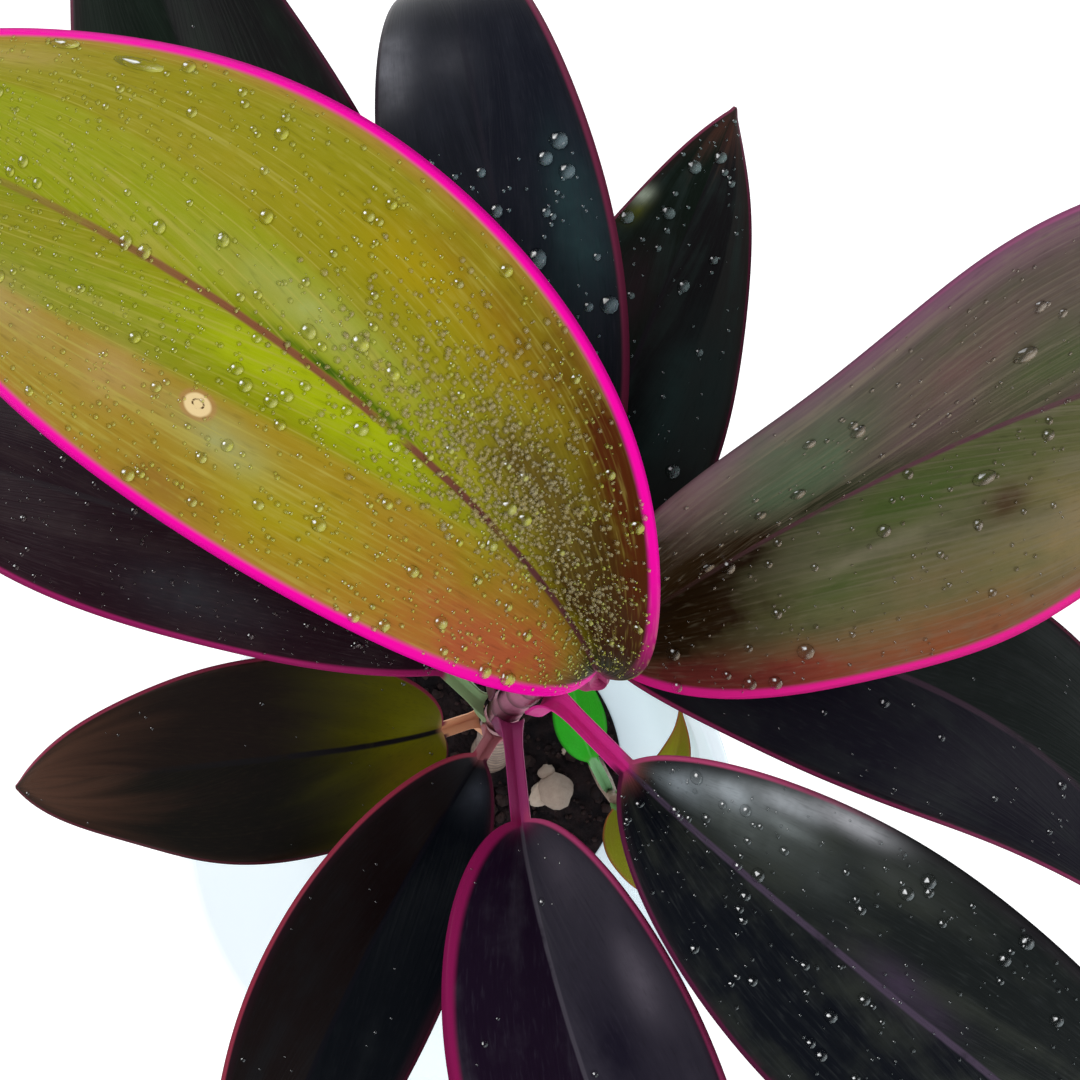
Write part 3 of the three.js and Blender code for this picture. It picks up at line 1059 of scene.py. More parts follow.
    def rimmed(self, colour: Socket) -> Socket:
        """Lay the two coloured margins round a colour.

        Args:
            colour: The colour inside them.

        Returns:
            The colour with its margins.
        """
        left, right = self.look.rims
        rim = self.left * self.near(left) + (1 - self.left) * self.near(right)
        return self.blend(colour, self.sides(right.colour, left.colour), rim)

    def near(self, rim: Rim) -> Value:
        """Find where a margin is.

        Args:
            rim: The margin.

        Returns:
            1 on it and 0 inside it.
        """
        inset = self.inset * (1 - self.share.step(*self.swells_until) * self.rim_swells)
        band = inset.step(rim.width, rim.width * self.rim_full)
        return band * self.share.step(*rim.sets_in) * self.share.step(*reversed(rim.fades))


class Leaf:
    """A leaf: its mesh, its material and the dew on it.

    Drops keep dry_margin mm off its edge. They are drop_fat times as high as wide, at most
    as high as one of puddle_radius, drop_long times as long, and stand drop_lift of their
    height above the face. sparkles says how white the painted glints of each kind of water
    are, and speck_gathers and haze_gathers where its painted bright side starts and where it
    is full.
    """

    rows_per_petiole_row = 5
    least_petiole_rows = 6
    sparkles = {"water": 1.0, "speck": 0.35, "haze": 0.4}
    speck_gathers = (0.0, 0.95)
    haze_gathers = (-0.2, 0.9)
    dry_margin = 0.4
    puddle_radius = 1.6
    drop_fat = (0.34, 0.5)
    drop_long = (0.9, 1.15)
    drop_lift = 0.3

    def __init__(self, name: str, blade: Blade, hold: Hold, look: LeafLook, columns: int, rows: int) -> None:
        """Work out the leaf's upper face.

        Args:
            name: The leaf's name, which is its CAD node's.
            blade: Its sizes.
            hold: What it grows on.
            look: Its colours.
            columns: Cells across one face, an even number.
            rows: Cells along the blade.
        """
        self.name = name
        self.blade = blade
        self.look = look
        self.columns = columns
        self.petiole_rows = max(rows // self.rows_per_petiole_row, self.least_petiole_rows)
        self.rows = blade.rows(hold, self.petiole_rows, rows)
        self.strips = [blade.strip(row, hold, columns) for row in self.rows]

    def cell(self, along: float, round_it: float) -> tuple[Row, int, int, bool]:
        """Find the cell at a vertex.

        Args:
            along: The share of the way along the leaf.
            round_it: The share of the way round it.

        Returns:
            The row, its number, the column and whether the vertex is on top.
        """
        row = round(along * (len(self.rows) - 1))
        column = round(round_it * 2 * self.columns)
        on_top = column <= self.columns
        return self.rows[row], row, column if on_top else 2 * self.columns - column, on_top

    def place(self, along: float, round_it: float) -> Vector:
        """Place a vertex.

        Args:
            along: The share of the way along the leaf.
            round_it: The share of the way round it.

        Returns:
            Its point in millimetres.
        """
        _, row, column, on_top = self.cell(along, round_it)
        point, up, depth = self.strips[row][column]
        return point if on_top else point - up * depth

    def facts(self, along: float, round_it: float) -> dict[str, float]:
        """Return what the material reads at a vertex.

        Args:
            along: The share of the way along the leaf.
            round_it: The share of the way round it.

        Returns:
            The share of the blade, below 0 on the petiole; the share of the half width,
            signed; millimetres in from the edge and from the midrib; and 1 on top.
        """
        row, _, column, on_top = self.cell(along, round_it)
        petiole = self.blade.petiole
        across = 2 * column / self.columns - 1
        half = self.blade.half_width(row.share)
        return {
            "share": row.length / petiole - 1 if row.length < petiole else row.share,
            "across": across,
            "inset": (1 - abs(across)) * half,
            "offset": across * half,
            "top": float(on_top),
        }

    def build(self, slot: str, nodes: tuple[str, ...]) -> None:
        """Make and dress the leaf.

        Args:
            slot: The record's material slot; not used.
            nodes: The CAD nodes that it replaces.
        """
        piece = sheet(f"{self.name}_blade", len(self.rows) - 1, 2 * self.columns, self.place, self.facts)
        dress(piece, LeafPaint(f"{self.name}_skin", self.look, self.blade), nodes)

    def on_top(self, share: float, v: float) -> tuple[Vector, Vector, Vector]:
        """Return a point on the upper face, the way up from it and the way along it.

        Args:
            share: The share of the blade.
            v: The share of the half width.

        Returns:
            The point in millimetres and two unit vectors.
        """
        blade_rows = len(self.rows) - 1 - self.petiole_rows
        row = self.petiole_rows + share ** (1 / self.blade.row_ease) * blade_rows
        column = (v + 1) / 2 * self.columns
        i, j = min(int(row), len(self.rows) - 2), min(int(column), self.columns - 1)
        near = self.strips[i][j][0].lerp(self.strips[i][j + 1][0], column - j)
        far = self.strips[i + 1][j][0].lerp(self.strips[i + 1][j + 1][0], column - j)
        return near.lerp(far, row - i), self.strips[i][j][1], (far - near).normalized()

    def sprinkle(self, dew: Dew, slot: str) -> None:
        """Lay dew on the upper face.

        Args:
            dew: How much, and where.
            slot: The record's material slot.
        """
        random = Random(dew.seed)
        drops = dew.scattered(random, dew.count, dew.radius, dew.power, dew.edge)
        drops += [(share, v, length / 2, breadth / 2) for share, v, length, breadth in dew.puddles]
        fine = dew.gathered(random)
        specks = dew.scattered(random, dew.specks, dew.speck_radius, dew.speck_power, dew.speck_edge)
        clear = dew.glow, dew.shade, dew.cover
        for name, kind, kind_drops, water, gathers, finely in (
            ("dew", "water", drops, clear, dew.gathers, 2),
            ("specks", "speck", specks, clear, self.speck_gathers, 1),
            ("mist", "haze", fine, (*dew.mist, dew.mist_cover), self.haze_gathers, 1),
        ):
            paint = Water(f"{self.name}_{kind}", *water, self.sparkles[kind], gathers)
            self.lay(f"{self.name}_{name}", kind_drops, random, paint, slot, finely)

    def lay(self, name: str, drops: list[Four], random: Random, paint: Paint, slot: str, finely: int) -> None:
        """Make one piece of many drops, flattened balls that are sunk a little into the leaf.

        Args:
            name: The piece's name.
            drops: For each its place along and across the leaf and its two radii in mm.
            random: The stream of random numbers.
            paint: The material.
            slot: The record's material slot; not used.
            finely: How fine each ball is.
        """
        heap = Heap(name)
        for share, v, long, wide in drops:
            if self.blade.half_width(share) * (1 - abs(v)) < wide + self.dry_margin:
                continue
            point, up, along = self.on_top(share, v)
            fat = min(wide, self.puddle_radius) * random.uniform(*self.drop_fat)
            side = up.cross(along).normalized()
            turned = Matrix((side.cross(up), side, up)).transposed().to_4x4()
            shape = Matrix.Diagonal((long * random.uniform(*self.drop_long) * MM, wide * MM, fat * MM, 1))
            lifted = Matrix.Translation((point + up * fat * self.drop_lift) * MM)
            heap.ball(lifted @ turned @ shape, finely)
        if heap.balls:
            dress(heap.piece(), paint)


class Water(Paint):
    """Water that the leaf below shows through, with painted shade round its foot, a painted
    bright far side and a painted glint.

    lamp_way and far_way are the directions of the painted glint and of the painted bright
    side. Pairs are where a smooth step starts and where it is full. paler turns a part of
    the bright colour grey, and clearest and glint_hides are how much the clearest and the
    whitest parts hide.
    """

    lamp_way = (-0.42, 0.34, 0.84)
    far_way = (0.70, -0.57, 0.43)
    glint_edge = (0.88, 0.96)
    foot_edge = (0.55, 0.0)
    tint_edge = (0.35, 0.65)
    paler = 0.2
    clearest = 0.1
    glint_hides = 0.9
    white = (1.0, 1.0, 1.0)

    def __init__(
        self, name: str, glow: Colour, shade: Colour, cover: float, sparkle: float, gathers: Pair
    ) -> None:
        """Build the material.

        Args:
            name: The material's name.
            glow: The painted light of the side where the light gathers.
            shade: The painted shade round the foot.
            cover: How much of what lies below it hides.
            sparkle: How white its painted glint is, from 0 to 1.
            gathers: Where the painted bright side starts and where it is full, from -1 to 1.
        """
        super().__init__(name)
        cloud = self.grain(self.place(), 700.0, 1.0)
        # Painted light: a white glint where the drop faces lamp_way and a bright side towards far_way.
        glint = self.towards("facing", self.lamp_way).step(*self.glint_edge) * sparkle
        gather = self.towards("facing", self.far_way).step(*gathers)
        foot = self.attribute("high").step(*self.foot_edge)
        tint = self.grain(self.place(), 260.0).step(*self.tint_edge)
        glow = self.blend(glow, tuple(mix(part, sum(glow) / 3, self.paler) for part in glow), tint)
        colour = self.blend(self.blend(shade, glow, gather), self.white, glint)
        # Painted shade: round the foot the shade colour hides more of the leaf, a dark rim.
        hides = (foot * 0.4 + gather * 0.8 + self.clearest) * cover
        self.finish(colour, cloud * 0.08 + 0.06, None, 0, Specular_IOR_Level=0.6)
        self.feed(self.shader.inputs["Alpha"], hides + (self.glint_hides - hides) * glint)


class PotPaint(Paint):
    """Satin white plastic with a faint orange-peel relief, painted paler inside than outside.

    Of a pair of colours, the noise or the direction mixes the first and the second. The
    outside is painted grey, as painted shade, and the inside pale with a painted glow, a
    painted light that stands in for daylight through the wall.
    """

    # Painted shade and painted light on one white plastic: the outside grey, the inside pale.
    outside = (0.58, 0.60, 0.61), (0.63, 0.65, 0.66)
    inside = (0.82, 0.89, 0.91)
    # The inside's painted glow, dimmer and bluer on the +X side.
    glow = (0.34, 0.36, 0.38), (0.26, 0.32, 0.36)
    glow_turns = (0.0, 0.7)

    def __init__(self) -> None:
        """Build the material."""
        super().__init__("pot_white_plastic")
        where = self.place()
        cloud = self.grain(where, 9.0, 3.0)
        peel = self.grain(where, 420.0, 2.0)
        inner = self.attribute("inner")
        colour = self.blend(self.blend(*self.outside, cloud), self.inside, inner)
        # The painted glow is only inside, and turns to its second colour on the +X side.
        across = self.towards("side", (1, 0, 0)).step(*self.glow_turns)
        glow = self.blend((0.0, 0.0, 0.0), self.blend(*self.glow, across), inner)
        self.finish(colour, cloud * 0.12 + 0.2, peel, 0.00004, Specular_IOR_Level=0.5, Emission_Strength=1.0)
        self.feed(self.shader.inputs["Emission Color"], glow)


class SoilPaint(Paint):
    """Moist dark potting mix with pale fibres."""

    earth = (0.004, 0.002, 0.003), (0.024, 0.012, 0.012)
    fibres = (0.11, 0.06, 0.05)

    def __init__(self) -> None:
        """Build the material."""
        super().__init__("soil_moist")
        where = self.place()
        lumps = self.grain(where, 160.0, 4.0, 0.7)
        fibre = self.grain(where, 900.0, 3.0, 0.7)
        colour = self.blend(*self.earth, lumps.step(0.35, 0.75))
        colour = self.blend(colour, self.fibres, fibre.step(0.68, 0.82))
        self.finish(colour, 0.85 - lumps * 0.2, lumps + fibre * 0.4, 0.001, Specular_IOR_Level=0.15)


class BitsPaint(Paint):
    """Bark, grit and pebbles, each with its own shade."""

    def __init__(self, name: str, dark: Colour, pale: Colour, rough: float) -> None:
        """Build the material.

        Args:
            name: The material's name.
            dark: The darkest bits.
            pale: The palest bits.
            rough: The roughness.
        """
        super().__init__(name)
        grain = self.grain(self.place(), 500.0, 4.0, 0.7)
        tone = self.attribute("tone")
        colour = self.blend(dark, pale, tone * 0.8 + grain * 0.35)
        self.finish(colour, rough, grain, 0.0005, Specular_IOR_Level=0.2)


class CanePaint(Paint):
    """Pale brown bark, ringed by old leaf scars and purple where it is young."""

    bark = (0.20, 0.12, 0.09), (0.46, 0.32, 0.24)
    young = (0.58, 0.20, 0.32)
    scar = (0.07, 0.04, 0.03)

    def __init__(self) -> None:
        """Build the material."""
        super().__init__("cane_bark")
        cork = self.grain(self.place(), 300.0, 4.0, 0.65)
        ring = self.attribute("ring")
        colour = self.blend(*self.bark, cork.step(0.3, 0.75))
        colour = self.blend(colour, self.young, self.attribute("along").step(0.5, 0.9))
        colour = self.blend(colour, self.scar, ring * 0.7)
        self.finish(colour, 0.62 + cork * 0.2, cork - ring * 0.6, 0.0006)


@dataclass
class Pot:
    """The pot, in millimetres.

    Edges that bend more than bevel_from degrees are rounded. Down to lip_shade below the
    top, and up to wall_shade outside the inner radius, the paint is the inner wall's.
    """

    height: float = 140
    rim_radius: float = 80
    base_radius: float = 43
    wall: float = 2.6
    floor: float = 4
    lip_drop: float = 9
    lip_proud: float = 1.6
    lip_round: float = 1.2
    weld: float = 0.01
    sides: int = 160
    bevel_steps: int = 3
    bevel_from: float = 18
    lip_shade: float = 0.2
    wall_shade: float = 0.5

    def outer(self, z: float) -> float:
        """Return the radius outside at a height."""
        return mix(self.base_radius, self.rim_radius - self.lip_proud, z / self.height)

    def inner(self, z: float) -> float:
        """Return the radius inside at a height."""
        return self.outer(z) - self.wall

    def profile(self) -> list[Pair]:
        """Draw the wall's outline.

        Returns:
            Radii and heights, from the middle of the underside to the middle of the floor.
        """
        under_lip = self.height - self.lip_drop - self.lip_proud
        lip = self.height - self.lip_drop
        top = self.height
        return [
            (0, 0),
            (self.outer(0), 0),
            (self.outer(under_lip), under_lip),
            (self.outer(lip) + self.lip_proud, lip),
            (self.outer(top) + self.lip_proud, top),
            (self.inner(top), top),
            (self.inner(self.floor), self.floor),
            (0, self.floor),
        ]

    def build(self) -> None:
        """Spin the profile, round its corners and dress the pot."""
        bm = bmesh.new()
        verts = [bm.verts.new((r * MM, 0, z * MM)) for r, z in self.profile()]
        for a, b in zip(verts, verts[1:]):
            bm.edges.new((a, b))
        bmesh.ops.spin(
            bm, geom=bm.verts[:] + bm.edges[:], axis=(0, 0, 1), cent=(0, 0, 0),
            steps=self.sides, angle=2 * math.pi, use_merge=True,
        )
        bmesh.ops.remove_doubles(bm, verts=bm.verts, dist=self.weld * MM)
        least = math.radians(self.bevel_from)
        sharp = [edge for edge in bm.edges if edge.is_manifold and edge.calc_face_angle(0) > least]
        bmesh.ops.bevel(
            bm, geom=sharp, offset=self.lip_round * MM, offset_type="OFFSET", affect="EDGES",
            segments=self.bevel_steps, profile=0.5, material=-1,
        )
        layer = bm.verts.layers.float.new("inner")
        side = bm.verts.layers.float_vector.new("side")
        for vert in bm.verts:
            z = vert.co.z / MM
            vert[side] = vert.co / (self.rim_radius * MM)
            within = math.hypot(vert.co.x, vert.co.y) / MM < self.inner(z) + self.wall_shade
            vert[layer] = float(z > self.height - self.lip_shade or (within and z > self.floor / 2))
        dress(closed_piece("pot_body", bm), PotPaint(), ("pot",))


@dataclass
class Soil:
    """The soil in the pot, in millimetres.

    hollow keeps the stems free: the place and the radius of each. stones are the places
    and the radii of the stones that are laid one by one. waves are the surface's lumps: the
    height, the scale and the layer of each noise. under and wall are the shares of the
    outline at which the underside and the wall end. Bits keep clear of the wall and are
    raised by the share sunk of their radius; oblong and knobbly are how uneven they are, in
    shares of it, and those with a radius over large have a finer mesh.
    """

    pot: Pot
    hollow: list[Triple]
    stones: list[Triple]
    top: float = 50
    gap: float = 0.3
    rings: int = 90
    sectors: int = 150
    clods: float = 2.2
    waves: tuple[Triple, ...] = ((1.0, 0.09, 0), (0.5, 0.27, 9), (0.28, 0.8, 20))
    proud: float = 0.6
    flat_from: float = 0.9
    under: float = 0.1
    wall: float = 0.2
    bits: int = 620
    bit_radii: Pair = (0.8, 2.6)
    pebbles: int = 12
    pebble_radii: Pair = (1.0, 2.2)
    clear: float = 0.6
    sunk: float = 0.25
    oblong: Pair = (0.7, 1.15)
    knobbly: float = 0.22
    large: float = 2.7
    seed: int = 7

    def reach(self, z: float) -> float:
        """Return the soil's radius at a height."""
        return self.pot.inner(z) - self.gap

    def lift(self, x: float, y: float) -> float:
        """Work out the lumps of the surface.

        Args:
            x: The place, in millimetres.
            y: The place, in millimetres.

        Returns:
            How far the surface rises above its level there.
        """
        edge = smooth(math.hypot(x, y) / self.reach(self.top), self.flat_from, 1.0)
        lumps = sum(high * noise.noise(Vector((x, y, layer)) * scale) for high, scale, layer in self.waves)
        return self.clods * lumps * (1 - edge) + self.proud

    def place(self, along: float, round_it: float) -> Vector:
        """Place a vertex.

        Args:
            along: The share of the outline, from the middle below to the middle on top.
            round_it: The share of the way round.

        Returns:
            Its point in millimetres.
        """
        turn = 2 * math.pi * round_it
        foot = self.pot.floor + self.gap
        if along < self.under:
            radius, z = self.reach(foot) * along / self.under, foot
        elif along < self.wall:
            z = mix(foot, self.top, (along - self.under) / (self.wall - self.under))
            radius = self.reach(z)
        else:
            radius = self.reach(self.top) * (1 - along) / (1 - self.wall)
            z = self.top + self.lift(radius * math.cos(turn), radius * math.sin(turn))
        return Vector((radius * math.cos(turn), radius * math.sin(turn), z))

    def scatter(self, count: int, radii: Pair, random: Random) -> list[Triple]:
        """Return places and radii for bits that keep clear of the stems.

        Args:
            count: How many.
            radii: The smallest and largest radius.
            random: The stream of random numbers.

        Returns:
            For each bit its place and its radius.
        """
        found = []
        while len(found) < count:
            radius = mix(*radii, random.random() ** 2)
            away = (self.reach(self.top) - radius - self.clear) * math.sqrt(random.random())
            turn = random.uniform(0, 2 * math.pi)
            x, y = away * math.cos(turn), away * math.sin(turn)
            if all(math.hypot(x - a, y - b) > r + radius for a, b, r in self.hollow):
                found.append((x, y, radius))
        return found

    def lay(self, name: str, bits: list[Triple], paint: Paint, random: Random) -> None:
        """Make one piece of bits that lie on the soil.

        Args:
            name: The piece's name.
            bits: For each its place and its radius.
            paint: Their material.
            random: The stream of random numbers.
        """
        heap = Heap(name)
        for x, y, radius in bits:
            z = self.top + self.lift(x, y) + radius * self.sunk
            shape = Matrix.Diagonal((*[radius * random.uniform(*self.oblong) * MM for _ in range(3)], 1))
            round_z, round_x = (Matrix.Rotation(random.uniform(0, 6), 4, axis) for axis in "ZX")
            place = Matrix.Translation(Vector((x, y, z)) * MM) @ round_z @ round_x @ shape
            finely = 3 if radius > self.large else 1
            heap.ball(place, finely, random.random(), radius * self.knobbly * MM)
        dress(heap.piece(), paint)

    def build(self) -> None:
        """Make and dress the soil, its bits and its pebbles."""
        dress(sheet("soil_bed", self.rings, self.sectors, self.place), SoilPaint(), ("soil",))
        random = Random(self.seed)
        noise.seed_set(self.seed)
        bark = BitsPaint("bark_bits", (0.004, 0.002, 0.003), (0.040, 0.020, 0.018), 0.85)
        self.lay("soil_bark", self.scatter(self.bits, self.bit_radii, random), bark, random)
        stone = BitsPaint("pale_pebbles", (0.30, 0.20, 0.16), (0.95, 0.76, 0.60), 0.7)
        pebbles = self.scatter(self.pebbles, self.pebble_radii, random)
        self.lay("soil_pebbles", self.stones + pebbles, stone, random)


@dataclass
class Cane:
    """The cane, in millimetres."""

    path: tuple[Triple, ...] = (
        (2, -2, 22), (5, 6, 50), (8, 14, 78), (11, 29, 140), (16, 45, 200), (25, 56, 236), (30, 59, 248),
    )
    foot_radius: float = 7.6
    tip_radius: float = 2.6
    ring_proud: float = 0.4
    ring_sharpness: float = 12
    clear: float = 0.3
    rings: float = 24
    rows: int = 240
    sides: int = 28

    def __post_init__(self) -> None:
        """Draw the centre line."""
        self.line = Curve(self.path)

    def radius(self, share: float) -> float:
        """Return the radius at a share of the line."""
        return mix(self.foot_radius, self.tip_radius, share)

    def ring(self, along: float) -> float:
        """Return how much of a leaf scar there is, 0 to 1."""
        return abs(math.sin(math.pi * self.rings * along)) ** self.ring_sharpness

    def facts(self, along: float, _: float) -> dict[str, float]:
        """Return what the bark's material reads at a share of the cane."""
        return {"along": along, "ring": self.ring(along)}

    def hold(self, height: float) -> Hold:
        """Find what a leaf grows on.

        Args:
            height: The height of the leaf's foot, in millimetres.

        Returns:
            The cane's point and direction there and the radius to clasp.
        """
        share = self.line.at_height(height)
        clasp = self.radius(share) + self.ring_proud + self.clear
        return Hold(self.line.at(share), self.line.heading(share), clasp)

    def place(self, along: float, round_it: float) -> Vector:
        """Place a vertex.

        Args:
            along: The share of the way along the cane.
            round_it: The share of the way round it.

        Returns:
            Its point in millimetres.
        """
        share = self.line.at_length(along)
        heading = self.line.heading(share)
        side = Vector((0, 1, 0)).cross(heading).normalized()
        up = heading.cross(side)
        turn = 2 * math.pi * round_it
        radius = self.radius(along) + self.ring_proud * self.ring(along)
        return self.line.at(share) + (side * math.cos(turn) + up * math.sin(turn)) * radius

    def build(self) -> None:
        """Make and dress the cane."""
        piece = sheet("cane_stem", self.rows, self.sides, self.place, self.facts)
        dress(piece, CanePaint(), ("cane",))


PINK = (0.90, 0.001, 0.36)
MAGENTA = (0.22, 0.010, 0.08)


class LeafTone(Enum):
    """The looks that the leaves are given."""

    LIME = LeafLook(
        left=(0.215, 0.240, 0.002), right=(0.262, 0.295, 0.003), foot=(0.016, 0.014, 0.001),
        tip=(0.25, 0.25, 0.010), patch=(0.31, 0.21, 0.008), streak=(0.46, 0.40, 0.08),
        rib=(0.22, 0.08, 0.035), rims=(Rim(PINK, 2.3), Rim(PINK, 1.9, (0.02, 0.14))), hem=(0.42, 0.17, 0.045),
        under=(0.20, 0.24, 0.03), petiole=(0.40, 0.05, 0.16), left_outer=(0.325, 0.205, 0.013),
        right_outer=(0.26, 0.24, 0.006), foot_reach=0.13, tip_from=0.85, patches=0.35,
        lines=0.45, hem_width=4.5, rib_width=0.85, rib_foot=(0.10, 0.030, 0.03), rough=0.4, shine=0.04,
        relief=0.00008, seed=1.0, spot=(0.393, 0.449),
        stains_and_painted_light=(
            StainOrPaintedLight(0.13, 0.62, 0.11, 0.55, (0.38, 0.085, 0.028), 1.1),
            StainOrPaintedLight(0.17, 0.30, 0.06, 0.25, (0.30, 0.17, 0.008)),
            StainOrPaintedLight(0.30, 0.60, 0.08, 0.26, (0.33, 0.26, 0.007), 0.9),
            StainOrPaintedLight(0.38, 0.85, 0.05, 0.14, (0.28, 0.15, 0.02)),
            StainOrPaintedLight(0.34, 0.10, 0.15, 0.16, (0.34, 0.40, 0.003), 1.1),
            StainOrPaintedLight(0.27, -0.72, 0.10, 0.26, (0.28, 0.17, 0.007)),
            # Painted shade over the foot of the right half, which is folded and lies in shade; partly its own
            # dark brown.
            StainOrPaintedLight(0.11, -0.52, 0.08, 0.52, (0.044, 0.019, 0.002), 1.7),
            StainOrPaintedLight(0.18, -0.36, 0.06, 0.28, (0.11, 0.072, 0.009), 1.0),
            # Painted shade near the edge of the right half's foot; partly its own dark red-brown.
            StainOrPaintedLight(0.15, -0.86, 0.12, 0.20, (0.070, 0.014, 0.002), 1.6),
            StainOrPaintedLight(0.33, -0.62, 0.05, 0.13, (0.35, 0.25, 0.004)),
            # Painted shade at the very foot of the right half; partly its own dark brown.
            StainOrPaintedLight(0.03, -0.65, 0.06, 0.60, (0.050, 0.010, 0.003), 1.8),
            StainOrPaintedLight(0.38, -0.20, 0.08, 0.13, (0.40, 0.43, 0.15), 0.55),
            StainOrPaintedLight(0.37, 0.52, 0.05, 0.12, (0.36, 0.38, 0.16), 0.6),
            StainOrPaintedLight(0.46, 0.55, 0.05, 0.18, (0.42, 0.27, 0.09), 0.6),
            StainOrPaintedLight(0.58, 0.62, 0.08, 0.22, (0.40, 0.29, 0.10), 0.6),
            StainOrPaintedLight(0.46, -0.55, 0.16, 0.22, (0.30, 0.25, 0.006), 0.6),
            # Painted shadow: a narrow dark green band beside the midrib on the right half.
            StainOrPaintedLight(0.34, -0.035, 0.10, 0.030, (0.04, 0.10, 0.001), 0.9),
            StainOrPaintedLight(0.70, -0.80, 0.10, 0.10, (0.45, 0.30, 0.10), 0.5),
            StainOrPaintedLight(0.015, -0.1, 0.03, 0.8, (0.02, 0.045, 0.001), 1.3),
        ),
    )
    BRONZE = LeafLook(
        left=(0.088, 0.060, 0.050), right=(0.105, 0.108, 0.040), foot=(0.012, 0.004, 0.001),
        tip=(0.13, 0.10, 0.055), patch=(0.052, 0.058, 0.027), streak=(0.20, 0.165, 0.11),
        rib=(0.10, 0.040, 0.052), hem=(0.20, 0.05, 0.035), left_hem=(0.17, 0.07, 0.12),
        rims=(Rim((0.42, 0.10, 0.24), 1.1, (0.2, 0.6)), Rim((0.78, 0.012, 0.25), 2.4)),
        under=(0.10, 0.03, 0.05), petiole=(0.95, 0.05, 0.36), right_outer=(0.15, 0.115, 0.045),
        outer_from=0.62, foot_reach=0.10, tip_from=0.8, patches=0.8, streaks=0.26, lines=0.35,
        hem_width=8.0, rib_foot=(0.03, 0.012, 0.008), relief=0.00008, seed=2.0,
        stains_and_painted_light=(
            StainOrPaintedLight(0.27, 0.50, 0.065, 0.55, (0.070, 0.100, 0.055), 1.2),
            StainOrPaintedLight(0.29, 0.10, 0.08, 0.14, (0.024, 0.028, 0.014), 1.2),
            StainOrPaintedLight(0.47, 0.28, 0.07, 0.28, (0.060, 0.072, 0.026), 1.0),
            StainOrPaintedLight(0.40, 0.55, 0.05, 0.2, (0.125, 0.060, 0.055), 0.6),
            StainOrPaintedLight(0.23, -0.15, 0.06, 0.12, (0.16, 0.145, 0.085), 0.7),
            StainOrPaintedLight(0.33, -0.55, 0.08, 0.2, (0.16, 0.115, 0.055), 0.6),
            StainOrPaintedLight(0.15, -0.85, 0.13, 0.22, (0.21, 0.040, 0.022), 1.0),
            StainOrPaintedLight(0.33, -0.86, 0.10, 0.14, (0.22, 0.065, 0.025), 1.0),
            StainOrPaintedLight(0.25, -0.40, 0.05, 0.10, (0.075, 0.095, 0.028), 0.9),
            StainOrPaintedLight(0.36, -0.14, 0.09, 0.12, (0.070, 0.100, 0.024), 1.0),
            StainOrPaintedLight(0.30, -0.30, 0.08, 0.05, (0.20, 0.18, 0.11), 0.7),
            StainOrPaintedLight(0.36, 0.30, 0.06, 0.16, (0.11, 0.065, 0.070), 0.7),
            StainOrPaintedLight(0.50, -0.60, 0.11, 0.30, (0.24, 0.165, 0.070)),
            StainOrPaintedLight(0.42, -0.35, 0.025, 0.1, (0.05, 0.018, 0.010), 0.9),
            StainOrPaintedLight(0.20, 0.85, 0.05, 0.25, (0.16, 0.085, 0.090), 0.7),
            StainOrPaintedLight(0.10, -0.75, 0.08, 0.35, (0.14, 0.020, 0.016), 1.2),
            StainOrPaintedLight(0.11, -0.20, 0.09, 0.45, (0.020, 0.008, 0.001), 1.6),
            StainOrPaintedLight(0.15, 0.12, 0.10, 0.34, (0.015, 0.006, 0.001), 1.9),
            StainOrPaintedLight(0.11, 0.68, 0.09, 0.46, (0.022, 0.011, 0.003), 1.9),
        ),
    )
    CHARCOAL = LeafLook(
        left=(0.008, 0.009, 0.014), right=(0.006, 0.007, 0.013), foot=(0.004, 0.008, 0.009),
        tip=(0.012, 0.012, 0.018), patch=(0.022, 0.024, 0.034), streak=(0.03, 0.03, 0.04),
        rib=(0.014, 0.013, 0.020), rims=(Rim((0.03, 0.02, 0.03), 0.8), Rim((0.16, 0.02, 0.055), 1.6)),
        hem=(0.012, 0.010, 0.014), under=(0.03, 0.012, 0.02), petiole=(0.16, 0.03, 0.06), seed=3.0,
        stains_and_painted_light=(
            # Painted sheen: these two grey clouds where the leaf bends over.
            StainOrPaintedLight(0.61, 0.80, 0.06, 0.30, (0.15, 0.15, 0.17)),
            StainOrPaintedLight(0.60, 0.20, 0.04, 0.4, (0.05, 0.05, 0.06), 0.6),
            StainOrPaintedLight(0.41, -0.70, 0.09, 0.28, (0.020, 0.045, 0.050)),
            StainOrPaintedLight(0.30, -0.30, 0.08, 0.3, (0.012, 0.026, 0.030)),
        ),
    )
    FOREST = LeafLook(
        left=(0.003, 0.007, 0.004), right=(0.006, 0.006, 0.006), foot=(0.003, 0.008, 0.004),
        tip=(0.05, 0.018, 0.010), patch=(0.008, 0.016, 0.010), streak=(0.022, 0.03, 0.024),
        rib=(0.012, 0.010, 0.012), rims=(Rim((0.14, 0.016, 0.05), 0.8), Rim((0.09, 0.012, 0.035), 0.8)),
        hem=(0.015, 0.008, 0.010), under=(0.03, 0.012, 0.02), petiole=(0.16, 0.04, 0.07),
        tip_from=0.84, seed=4.0,
    )
